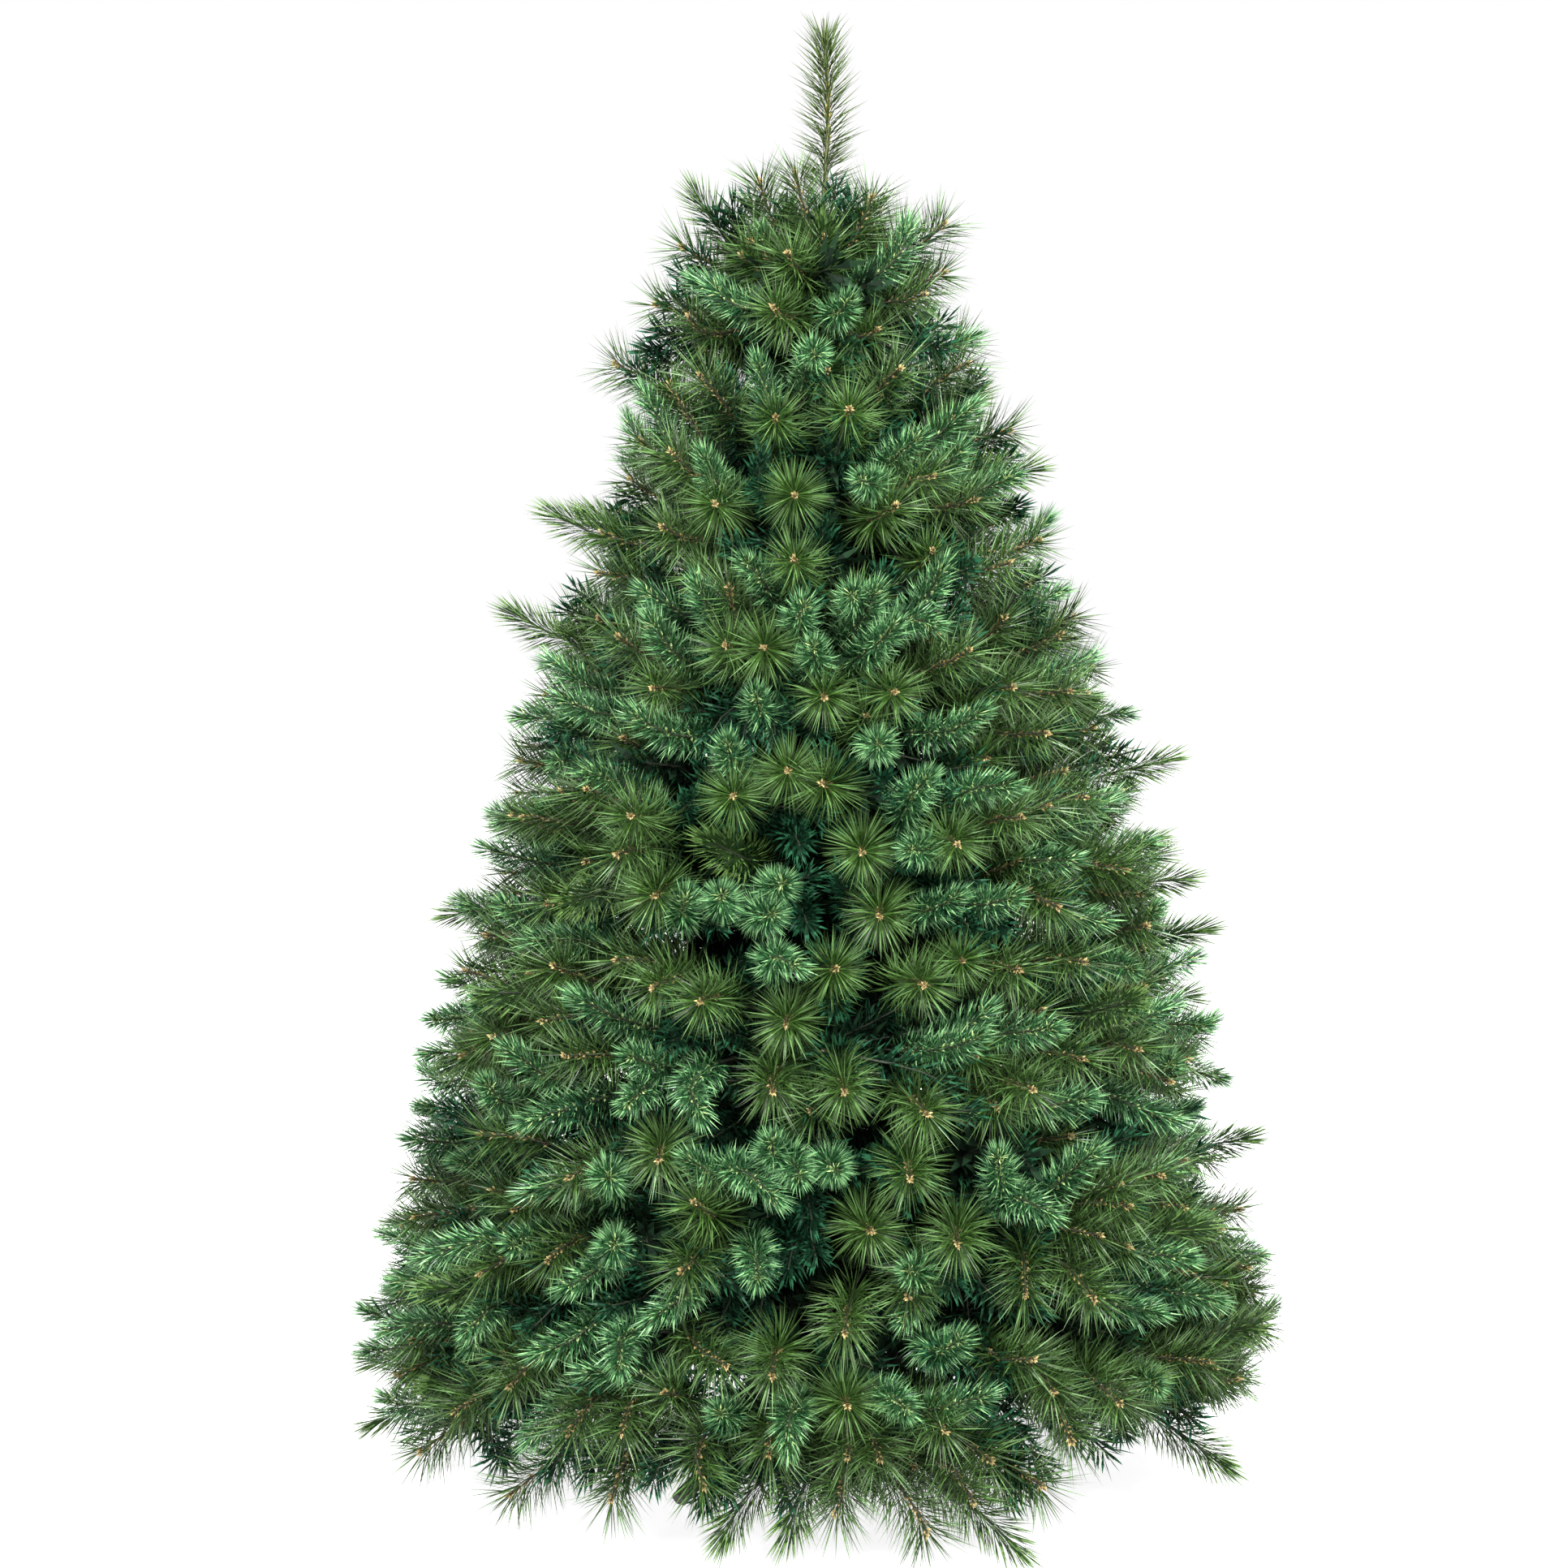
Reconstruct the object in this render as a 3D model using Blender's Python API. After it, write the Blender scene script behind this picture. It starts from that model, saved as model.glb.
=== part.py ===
"""An artificial Christmas tree, 1.8 m tall, standing on a folding steel foot.

A steel pole in three sections stands in a socket on four sloping legs. Three slotted collars on the pole
carry wire boughs, and above them the boughs are wound straight on the pole. Each bough ends in a mass of
needle sprays on twigs. Metres, +Z up, the floor at z = 0, the pole on the Z axis, the front facing -Y.
"""

import math
import random
from collections import namedtuple

import bmesh
import bpy
from mathutils import Vector

# Driving dimensions
GAP = 0.0003
TREE_HEIGHT = 1.80
CROWN_FOOT = 0.020
CROWN_TOP = 1.60
WIDEST_HEIGHT = 0.19
WIDEST_RADIUS = 0.582
TOP_RADIUS = 0.165
CROWN_BULGE = 0.028
SKIRT_TUCK = 0.35

# Pole: three tubes, each plugged into the one below
POLE_RADII = (0.0140, 0.0125, 0.0110)
POLE_FOOT = 0.068
POLE_JOINTS = (0.640, 1.140)
POLE_TOP = 1.540
SPIGOT_LENGTH = 0.050
SPIGOT_WALL = 0.0030
SHOULDER = 0.0006
POLE_SIDES = 16

# Folding stand: a socket with eared brackets, four legs, four rubber feet
LEG_COUNT = 4
LEG_AZIMUTH = math.radians(45)
LEG_RADIUS = 0.0070
LEG_INNER = Vector((0.030, 0.0, 0.128))
LEG_FOOT = Vector((0.236, 0.0, 0.0095))
FOOT_RADIUS = 0.0100
FOOT_LENGTH = 0.034
FOOT_OVERHANG = 0.006
SOCKET_RADIUS = 0.0180
SOCKET_FOOT = 0.060
SOCKET_TOP = 0.155
EAR_THICKNESS = 0.003
EAR_REACH = 0.048
EAR_HEIGHT = 0.030

# Boughs and their collars
HINGED_TIERS = 3
COLLAR_RADIUS = 0.032
COLLAR_HEIGHT = 0.018
COLLAR_SLOT_DEPTH = 0.013
BOUGH_ROOT_RADIUS = 0.0045
BOUGH_TIP_RADIUS = 0.0036
BOUGH_LENGTH = 0.085
STEM_TIP_RADIUS = 0.0025

# The crown: tiers from the bottom up, with the masses in each and the sprays in each mass's rows
Tier = namedtuple("Tier", "masses first_azimuth rows")
TIERS = (
    Tier(5, -90, (5, 4)),
    Tier(5, -54, (4, 5)),
    Tier(4, -90, (5, 5)),
    Tier(4, -45, (4, 4)),
    Tier(4, -90, (4, 4)),
    Tier(3, -30, (4, 4)),
    Tier(3, -90, (3, 3)),
)
Mass = namedtuple("Mass", "name level azimuth half_width")
SKIRT_LIFT = 0.045
CORE_SETBACK = 0.115
CORE_DEPTH = 0.64
CORE_SIDE_GAP = 0.006
CORE_INNER_FILL = 0.96
CORE_OUTER_FILL = 0.60
CORE_SKIN = 0.004
CORE_CROWNING = 0.006
CORE_SIDE_NOISE = (0.90, 1.0)
CORE_HEIGHT_NOISE = (0.86, 1.0)
CORE_DEPTH_NOISE = 0.08
CORE_SQUARENESS = 0.6
CORE_STATIONS = 4
CORE_SIDES = 8
LOWEST_SEAM_SLOPE = -4.0
SEAM_SLOPE_STEP = 5.0
SPACE_MARGIN = 0.002
POLE_CLEARANCE = 0.028
COLLAR_CLEARANCE = 0.040
LEADER_CLEARANCE = 0.052
STAND_CLEARANCE_HEIGHT = 0.170
STAND_CLEARANCE_FALL = 0.55

# A spray: a slim three-sided stem whose faces are drawn out into needles
SPRAY_LENGTH = 0.130
SPRAY_BANDS = 2
SPRAY_SIDES = 3
SPRAY_STEM_SHARE = 0.94
SPRAY_TAPER = 0.66
NEEDLE_OVERHANG = 0.012
ROOT_DEPTH = 0.030
ROOT_TURN_SHARE = 0.62
ROOT_RISE_SHARE = 0.45
ROW_SPACING = 0.56
ROW_SPREAD = math.radians(8)
SKIRT_RISE = math.radians(-12)
RISE_WITH_HEIGHT = math.radians(24)
RISE_AT_TOP = math.radians(44)
AZIMUTH_SCATTER = 0.02
RISE_SCATTER = 0.06
FAN_SHARE = 0.30
STEM_SHARE = 0.80
SPRAY_STEM_RADIUS = 0.0060
TWIG_RADIUS = 0.0035
LONG_NEEDLE = 0.076
SHORT_NEEDLE = 0.060
NEEDLE_LEAN = math.radians(50)
LEADER_SPRAYS = 2
LEADER_NEEDLE = 0.038
LEADER_LEAN = 0.010
SEED = 1801


def clear_scene():
    for obj in list(bpy.data.objects):
        bpy.data.objects.remove(obj)


def material(name, colour, roughness, metallic=0.0):
    made = bpy.data.materials.new(name)
    made.use_nodes = True
    shader = made.node_tree.nodes["Principled BSDF"]
    shader.inputs["Base Color"].default_value = (*colour, 1.0)
    shader.inputs["Roughness"].default_value = roughness
    shader.inputs["Metallic"].default_value = metallic
    return made


def add_object(name, bm, finish, smooth_angle=None):
    """Turns a bmesh into a named object with outward faces and the given material."""
    bmesh.ops.recalc_face_normals(bm, faces=bm.faces)
    mesh = bpy.data.meshes.new(name)
    bm.to_mesh(mesh)
    bm.free()
    mesh.materials.append(finish)
    if smooth_angle:
        mesh.shade_smooth()
        mesh.set_sharp_from_angle(angle=math.radians(smooth_angle))
    obj = bpy.data.objects.new(name, mesh)
    bpy.context.scene.collection.objects.link(obj)
    return obj


def combine(obj, others, operation):
    """Applies one Boolean of the other objects to obj, and removes them."""
    operands = bpy.data.collections.new(obj.name + "_operands")
    bpy.context.scene.collection.children.link(operands)
    for other in others:
        operands.objects.link(other)
    boolean = obj.modifiers.new("join", "BOOLEAN")
    boolean.operation = operation
    boolean.operand_type = "COLLECTION"
    boolean.collection = operands
    boolean.solver = "EXACT"
    evaluated = obj.evaluated_get(bpy.context.evaluated_depsgraph_get())
    old = obj.data
    obj.data = bpy.data.meshes.new_from_object(evaluated)
    obj.modifiers.clear()
    bpy.data.meshes.remove(old)
    for other in others:
        bpy.data.objects.remove(other)
    bpy.data.collections.remove(operands)


def flatten_underside(mesh):
    """Cuts off what lies under the floor and closes the cut with a flat face."""
    bm = bmesh.new()
    bm.from_mesh(mesh)
    everything = bm.verts[:] + bm.edges[:] + bm.faces[:]
    up = (0, 0, 1)
    cut = bmesh.ops.bisect_plane(bm, geom=everything, plane_co=(0, 0, 0), plane_no=up, clear_inner=True)
    rim = [part for part in cut["geom_cut"] if isinstance(part, bmesh.types.BMEdge)]
    bmesh.ops.edgenet_fill(bm, edges=rim)
    bmesh.ops.recalc_face_normals(bm, faces=bm.faces)
    bm.to_mesh(mesh)
    bm.free()


def keep_main_skin(mesh):
    """Leaves only the largest closed skin, so that no sealed hollow or loose scrap stays in a mass."""
    bm = bmesh.new()
    bm.from_mesh(mesh)
    left = set(bm.verts)
    skins = []
    while left:
        skin = {left.pop()}
        edge = list(skin)
        while edge:
            near = [link.other_vert(vert) for vert in edge for link in vert.link_edges]
            edge = [vert for vert in set(near) if vert not in skin]
            skin.update(edge)
        left -= skin
        skins.append(skin)
    skins.sort(key=len)
    for skin in skins[:-1]:
        bmesh.ops.delete(bm, geom=list(skin), context="VERTS")
    bm.to_mesh(mesh)
    bm.free()


def along(azimuth, radius, height):
    """The point at that azimuth and radius round the pole, and at that height."""
    return Vector((radius * math.cos(azimuth), radius * math.sin(azimuth), height))


def frames_along(path):
    """At each point of the path: the direction of travel and two directions square to it, without twist."""
    steps = [(b - a).normalized() for a, b in zip(path, path[1:])]
    heads = [steps[0]]
    heads += [(a + b).normalized() for a, b in zip(steps, steps[1:])]
    heads.append(steps[-1])
    side = heads[0].orthogonal().normalized()
    frames = []
    for head in heads:
        side = (side - head * side.dot(head)).normalized()
        frames.append((head, side, head.cross(side)))
    return frames


def ring_points(centre, frame, radius, sides, turn=0.0):
    _, side, other = frame
    angles = [turn + math.tau * i / sides for i in range(sides)]
    return [centre + radius * (math.cos(a) * side + math.sin(a) * other) for a in angles]


def add_tube(bm, path, radii, sides):
    """A closed rod along the path, with a radius for each of its points."""
    rings = []
    for centre, frame, radius in zip(path, frames_along(path), radii):
        points = ring_points(centre, frame, radius, sides)
        rings.append([bm.verts.new(p) for p in points])
    for low, high in zip(rings, rings[1:]):
        for i in range(sides):
            j = (i + 1) % sides
            bm.faces.new((low[i], low[j], high[j], high[i]))
    bm.faces.new(rings[0][::-1])
    bm.faces.new(rings[-1])


def tube_object(name, path, radii, sides, finish, smooth_angle=40):
    bm = bmesh.new()
    add_tube(bm, path, radii, sides)
    return add_object(name, bm, finish, smooth_angle)


def box_object(name, low, high, azimuth, finish):
    """A box between two corners, turned about the Z axis to the given azimuth."""
    bm = bmesh.new()
    bmesh.ops.create_cube(bm, size=1.0)
    low, high = Vector(low), Vector(high)
    for vert in bm.verts:
        share = vert.co + Vector((0.5, 0.5, 0.5))
        local = Vector(low[i] + share[i] * (high[i] - low[i]) for i in range(3))
        vert.co = turned(local, azimuth)
    return add_object(name, bm, finish)


def turned(point, azimuth):
    """A point given as if at azimuth 0, turned about the Z axis."""
    x, y, z = point
    cosine, sine = math.cos(azimuth), math.sin(azimuth)
    return Vector((x * cosine - y * sine, x * sine + y * cosine, z))


def crown_radius(height):
    """How far the needles reach from the pole at a height: a bulging cone, tucked in at the skirt."""
    if height < WIDEST_HEIGHT:
        return WIDEST_RADIUS - SKIRT_TUCK * (WIDEST_HEIGHT - height)
    share = min(1.0, (height - WIDEST_HEIGHT) / (CROWN_TOP - WIDEST_HEIGHT))
    straight = WIDEST_RADIUS + (TOP_RADIUS - WIDEST_RADIUS) * share
    return straight + CROWN_BULGE * 4 * share * (1 - share)


def seam_height(seam, radius):
    """The height at that radius of the sloping seam between tier number seam and the one above it."""
    outer = CROWN_FOOT + (CROWN_TOP - CROWN_FOOT) * seam / len(TIERS)
    slope = math.tan(math.radians(LOWEST_SEAM_SLOPE + SEAM_SLOPE_STEP * (seam - 1)))
    return outer + (radius - crown_radius(outer)) * slope


def space_below(level, radius):
    """The lowest height that a tier's masses may fill at that radius. The first tier clears the stand."""
    if level == 0:
        return max(CROWN_FOOT - 0.006, STAND_CLEARANCE_HEIGHT - STAND_CLEARANCE_FALL * radius)
    return seam_height(level, radius) + SPACE_MARGIN


def space_above(level, radius):
    if level == len(TIERS) - 1:
        return TREE_HEIGHT
    return seam_height(level + 1, radius) - SPACE_MARGIN


def inner_limit(level, height):
    """The radius that a tier's masses leave free round the pole, its collar, and at the top the leader."""
    if height > POLE_TOP - SPACE_MARGIN:
        return LEADER_CLEARANCE
    return COLLAR_CLEARANCE if level < HINGED_TIERS else POLE_CLEARANCE


def in_space(mass, point, room=0.0):
    """Whether a point lies in the wedge of space that belongs to a mass, with some room round it."""
    radius = math.hypot(point.x, point.y)
    turn = (math.atan2(point.y, point.x) - mass.azimuth + math.pi) % math.tau - math.pi
    if radius * math.sin(max(0.0, mass.half_width - abs(turn))) < SPACE_MARGIN + room:
        return False
    if radius < inner_limit(mass.level, point.z) + room:
        return False
    return space_below(mass.level, radius) + room < point.z < space_above(mass.level, radius) - room


def tier_slope(level):
    """How steeply a tier's boughs rise: a little downwards at the skirt, and upwards at the top."""
    return math.radians(LOWEST_SEAM_SLOPE + SEAM_SLOPE_STEP * (level - 0.5))


def bough_height(level):
    """The height at which a tier's boughs leave the pole, so that they run up the middle of their masses."""
    inner, outer = core_span(level)
    radius = (inner + outer) / 2
    return core_middle(level, radius) - radius * math.tan(tier_slope(level))


def core_span(level):
    """The inner and outer radius of a tier's cores."""
    middle = CROWN_FOOT + (CROWN_TOP - CROWN_FOOT) * (level + 0.5) / len(TIERS)
    outer = crown_radius(middle) - CORE_SETBACK
    return outer * (1 - CORE_DEPTH), outer


def core_middle(level, radius):
    return (space_below(level, radius) + min(space_above(level, radius), CROWN_TOP)) / 2


def core_half_height(level, radius):
    """Half the height of a tier's cores, which fill it at the pole and leave room for the sprays outside."""
    inner, outer = core_span(level)
    share = min(1.0, max(0.0, (radius - inner) / (outer - inner)))
    fill = CORE_INNER_FILL + (CORE_OUTER_FILL - CORE_INNER_FILL) * share
    return (min(space_above(level, radius), CROWN_TOP) - space_below(level, radius)) / 2 * fill


def squared(share):
    """Pushes a coordinate of a circle outwards, towards the square round it."""
    return math.copysign(abs(share) ** CORE_SQUARENESS, share)


def core_object(mass, draw, finish):
    """The dense inside of a mass: a lumpy pad, wedge-shaped in plan, that the sprays stand out of."""
    inner, outer = core_span(mass.level)
    bm = bmesh.new()
    rings = []
    for station in range(CORE_STATIONS):
        share = station / (CORE_STATIONS - 1)
        radius = inner + (outer - inner) * share
        half_angle = mass.half_width - CORE_SIDE_GAP / radius
        half_height = core_half_height(mass.level, radius)
        ring = []
        for side in range(CORE_SIDES):
            angle = math.tau * (side + 0.5) / CORE_SIDES
            turn = half_angle * squared(math.cos(angle)) * draw.uniform(*CORE_SIDE_NOISE)
            rise = half_height * squared(math.sin(angle)) * draw.uniform(*CORE_HEIGHT_NOISE)
            height = core_middle(mass.level, radius) + rise
            shifted = radius + draw.uniform(-1, 1) * CORE_DEPTH_NOISE * (outer - inner) / CORE_STATIONS
            ring.append(bm.verts.new(along(mass.azimuth + turn, shifted, height)))
        rings.append(ring)
    for low, high in zip(rings, rings[1:]):
        for i in range(CORE_SIDES):
            j = (i + 1) % CORE_SIDES
            bm.faces.new((low[i], low[j], high[j]))
            bm.faces.new((low[i], high[j], high[i]))
    for ring, radius in ((rings[0], inner), (rings[-1], outer + CORE_CROWNING)):
        centre = bm.verts.new(along(mass.azimuth, radius, core_middle(mass.level, radius)))
        for i in range(CORE_SIDES):
            bm.faces.new((ring[i], ring[(i + 1) % CORE_SIDES], centre))
    return add_object(mass.name + "_core", bm, finish)


def in_core(mass, point):
    inner, outer = core_span(mass.level)
    radius = math.hypot(point.x, point.y)
    rise = abs(point.z - core_middle(mass.level, radius))
    return inner < radius < outer + CORE_SKIN and rise < core_half_height(mass.level, radius)


def sunk_root(mass, point):
    """The point itself if it lies deep in the mass's core, or else the nearest one that does."""
    inner, outer = core_span(mass.level)
    radius = min(max(math.hypot(point.x, point.y), inner + ROOT_DEPTH), outer - ROOT_DEPTH)
    turn = (math.atan2(point.y, point.x) - mass.azimuth + math.pi) % math.tau - math.pi
    most_turn = ROOT_TURN_SHARE * (mass.half_width - CORE_SIDE_GAP / radius)
    turn = min(max(turn, -most_turn), most_turn)
    most_rise = ROOT_RISE_SHARE * core_half_height(mass.level, radius)
    rise = min(max(point.z - core_middle(mass.level, radius), -most_rise), most_rise)
    return along(mass.azimuth + turn, radius, core_middle(mass.level, radius) + rise)


def stands_free(mass, point):
    """Whether a needle may have its foot or point there: in the mass's space, and out of its core."""
    return in_space(mass, point) and not in_core(mass, point)


def spray_elevation(height):
    """How steeply the sprays rise at a height: drooping at the skirt, level low down, steep at the top."""
    share = (height - CROWN_FOOT) / (CROWN_TOP - CROWN_FOOT)
    return SKIRT_RISE + RISE_WITH_HEIGHT * share + RISE_AT_TOP * share**3


def spray_targets(mass):
    """Where the sprays of a mass end: rows of them over its share of the crown's surface."""
    band = (CROWN_TOP - CROWN_FOOT) / len(TIERS)
    low = CROWN_FOOT + band * mass.level
    rows = TIERS[mass.level].rows
    for row, count in enumerate(rows):
        upward = row - (len(rows) - 1) / 2
        height = low + band * (0.5 + ROW_SPACING * upward)
        elevation = spray_elevation(height) + upward * ROW_SPREAD
        most_lift = SKIRT_LIFT if (mass.level, row) == (0, 0) else 0.0
        for i in range(count):
            turn = mass.half_width * (2 * (i + 0.5) / count - 1)
            lift = most_lift * max(0.0, math.cos(mass.azimuth + turn))
            yield turn, height + lift, elevation, (i + row) % 2 == 0


def add_spray(bm, path, needle_length, turn, fits):
    """A twig along the first step of the path, and a spray of needles on the second, all one closed skin."""
    root, base, tip = path
    heading = (tip - base).normalized()
    shares = [band / SPRAY_BANDS * SPRAY_STEM_SHARE for band in range(SPRAY_BANDS + 1)]
    centres = [root] + [base.lerp(tip, share) for share in shares]
    radii = [TWIG_RADIUS] + [SPRAY_STEM_RADIUS * (1.0 - SPRAY_TAPER * share) for share in shares]
    rings = []
    for i, (centre, frame, radius) in enumerate(zip(centres, frames_along(centres), radii)):
        points = ring_points(centre, frame, radius, SPRAY_SIDES, turn + i * math.pi / SPRAY_SIDES)
        rings.append([bm.verts.new(p) for p in points])
    for band, (low, high) in enumerate(zip(rings, rings[1:])):
        middle = (centres[band] + centres[band + 1]) / 2
        for i in range(SPRAY_SIDES):
            j = (i + 1) % SPRAY_SIDES
            halves = [(low[i], low[j], high[i]), (low[j], high[j], high[i])]
            whole = (low[i], low[j], high[j], high[i])
            point = needle_point(whole, middle, heading, needle_length, fits) if band == 1 else None
            if point is not None:
                add_peak(bm, whole, point)
                continue
            for face in halves:
                point = needle_point(face, middle, heading, needle_length, fits) if band > 1 else None
                if point is None:
                    bm.faces.new(face)
                else:
                    add_peak(bm, face, point)
    bm.faces.new(rings[0][::-1])
    end = bm.verts.new(tip)
    for i in range(SPRAY_SIDES):
        bm.faces.new((rings[-1][i], rings[-1][(i + 1) % SPRAY_SIDES], end))


def add_peak(bm, face, point):
    """Draws a face of the skin out to a point."""
    corner = bm.verts.new(point)
    for a, b in zip(face, face[1:] + face[:1]):
        bm.faces.new((a, b, corner))


def needle_point(face, middle, heading, needle_length, fits):
    """Where the needle on that face of a spray ends: shorter, or none, where it would leave the space."""
    foot = sum((vert.co for vert in face), Vector()) / len(face)
    outward = foot - middle
    outward = (outward - heading * outward.dot(heading)).normalized()
    lean = outward * math.sin(NEEDLE_LEAN) + heading * math.cos(NEEDLE_LEAN)
    for share in (1.0, 0.75, 0.5):
        point = foot + lean * (needle_length * share)
        if fits(foot) and fits(point):
            return point
    return None


def mass_object(mass, start, draw, finish):
    """One mass of foliage: a stem, a core, and sprays on twigs that branch from the stem inside the core."""
    slope = tier_slope(mass.level)
    heading = along(mass.azimuth, math.cos(slope), math.sin(slope))
    inner, outer = core_span(mass.level)
    stem_length = (inner + (outer - inner) * STEM_SHARE - math.hypot(start.x, start.y)) / math.cos(slope)
    stem_ends = [start, start + heading * stem_length]
    stem = tube_object(mass.name, stem_ends, (BOUGH_TIP_RADIUS, STEM_TIP_RADIUS), 6, finish, None)
    pieces = [core_object(mass, draw, finish)]
    for turn, height, rise, long_needled in spray_targets(mass):
        azimuth = mass.azimuth + turn + draw.uniform(-1, 1) * AZIMUTH_SCATTER
        rise += draw.uniform(-1, 1) * RISE_SCATTER
        tip = along(azimuth, crown_radius(height) - NEEDLE_OVERHANG, height)
        travel = along(azimuth - FAN_SHARE * turn, math.cos(rise), math.sin(rise))
        base = tip - travel * SPRAY_LENGTH
        root = sunk_root(mass, base - travel * ROOT_DEPTH)
        if not all(in_space(mass, point, SPRAY_STEM_RADIUS) for point in (root, base, tip)):
            print("left out", mass.name, round(height, 3), round(math.degrees(turn)))
            continue
        bm = bmesh.new()
        needle_length = LONG_NEEDLE if long_needled else SHORT_NEEDLE
        roll = draw.uniform(0, math.tau)
        add_spray(bm, (root, base, tip), needle_length, roll, lambda point: stands_free(mass, point))
        pieces.append(add_object(mass.name + "_spray", bm, finish))
    combine(stem, pieces, "UNION")
    keep_main_skin(stem.data)


def leader_object(draw, finish):
    """The single upright spray that crowns the pole: short-needled below and tipped above."""
    foot = Vector((0, 0, POLE_TOP + GAP))
    top = Vector((LEADER_LEAN, 0, TREE_HEIGHT))
    stem = tube_object("leader", [foot, foot.lerp(top, 0.4)], (0.006, 0.005), 6, finish, None)
    pieces = []
    for part in range(LEADER_SPRAYS):
        shares = (0.10 + 0.40 * part, 0.14 + 0.43 * part, 0.57 + 0.43 * part)
        path = [foot.lerp(top, share) for share in shares]
        bm = bmesh.new()
        add_spray(bm, path, LEADER_NEEDLE, draw.uniform(0, math.tau), lambda point: point.z < TREE_HEIGHT)
        pieces.append(add_object("leader_spray", bm, finish))
    combine(stem, pieces, "UNION")


def build_pole(finish):
    feet = (POLE_FOOT,) + POLE_JOINTS
    tops = POLE_JOINTS + (POLE_TOP,)
    names = ("pole_lower", "pole_middle", "pole_upper")
    for section, (name, foot, top, radius) in enumerate(zip(names, feet, tops, POLE_RADII)):
        path = [Vector((0, 0, foot + (GAP if section else 0))), Vector((0, 0, top))]
        radii = [radius, radius]
        if section:
            spigot = POLE_RADII[section - 1] - SPIGOT_WALL - GAP
            spigot_foot = Vector((0, 0, foot - SPIGOT_LENGTH))
            path = [spigot_foot, path[0], path[0] + Vector((0, 0, SHOULDER)), path[1]]
            radii = [spigot, spigot, radius, radius]
        pole = tube_object(name, path, radii, POLE_SIDES, finish)
        if section < len(names) - 1:
            mouth = [Vector((0, 0, top - SPIGOT_LENGTH - GAP)), Vector((0, 0, top + 0.01))]
            bore = tube_object(name + "_bore", mouth, [radius - SPIGOT_WALL] * 2, POLE_SIDES, finish)
            combine(pole, [bore], "DIFFERENCE")


def build_stand(steel, rubber):
    """The socket with its four brackets, and the four legs with their rubber feet."""
    socket_path = [Vector((0, 0, SOCKET_FOOT)), Vector((0, 0, SOCKET_TOP))]
    socket = tube_object("stand_socket", socket_path, [SOCKET_RADIUS] * 2, POLE_SIDES, steel)
    ears = []
    azimuths = [LEG_AZIMUTH + math.tau * i / LEG_COUNT for i in range(LEG_COUNT)]
    for azimuth in azimuths:
        for side in (-1, 1):
            inner, outer = LEG_RADIUS + GAP, LEG_RADIUS + GAP + EAR_THICKNESS
            low_y, high_y = sorted((side * inner, side * outer))
            low_z = LEG_INNER.z - EAR_HEIGHT / 2
            low = (POLE_RADII[0] + 0.002, low_y, low_z)
            high = (EAR_REACH, high_y, low_z + EAR_HEIGHT)
            ears.append(box_object("ear", low, high, azimuth, steel))
    combine(socket, ears, "UNION")
    bore_path = [Vector((0, 0, POLE_FOOT - GAP)), Vector((0, 0, SOCKET_TOP + 0.01))]
    bore = tube_object("bore", bore_path, [POLE_RADII[0] + GAP] * 2, POLE_SIDES, steel)
    combine(socket, [bore], "DIFFERENCE")

    names = ("back_right", "back_left", "front_left", "front_right")
    direction = (LEG_FOOT - LEG_INNER).normalized()
    for azimuth, name in zip(azimuths, names):
        leg_ends = [turned(LEG_INNER, azimuth), turned(LEG_FOOT, azimuth)]
        tube_object("leg_" + name, leg_ends, [LEG_RADIUS] * 2, 12, steel)
        cap_start = LEG_FOOT - direction * (FOOT_LENGTH - FOOT_OVERHANG)
        cap_end = LEG_FOOT + direction * FOOT_OVERHANG
        cap_path = [turned(cap_start, azimuth), turned(cap_end, azimuth)]
        foot = tube_object("foot_" + name, cap_path, [FOOT_RADIUS] * 2, 12, rubber)
        leg_bore = tube_object(
            "leg_bore",
            [turned(LEG_FOOT - direction * 0.08, azimuth), turned(LEG_FOOT + direction * GAP, azimuth)],
            [LEG_RADIUS + GAP] * 2,
            12,
            rubber,
        )
        combine(foot, [leg_bore], "DIFFERENCE")
        flatten_underside(foot.data)


def build_collar(level, azimuths, root_height, finish):
    """A ring on the pole with a slot for each bough's end."""
    low = Vector((0, 0, root_height - COLLAR_HEIGHT / 2))
    high = Vector((0, 0, root_height + COLLAR_HEIGHT / 2))
    name = f"collar_{level + 1}"
    collar = tube_object(name, [low, high], [COLLAR_RADIUS] * 2, 20, finish)
    slot = BOUGH_ROOT_RADIUS + GAP
    inner = COLLAR_RADIUS - COLLAR_SLOT_DEPTH
    cutters = [
        box_object(
            "slot",
            (inner, -slot, root_height - slot - 0.001),
            (COLLAR_RADIUS + 0.01, slot, high.z + 0.01),
            azimuth,
            finish,
        )
        for azimuth in azimuths
    ]
    bore_path = [low - Vector((0, 0, 0.01)), high + Vector((0, 0, 0.01))]
    cutters.append(tube_object("bore", bore_path, [POLE_RADII[0] + GAP] * 2, POLE_SIDES, finish))
    combine(collar, cutters, "DIFFERENCE")


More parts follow.
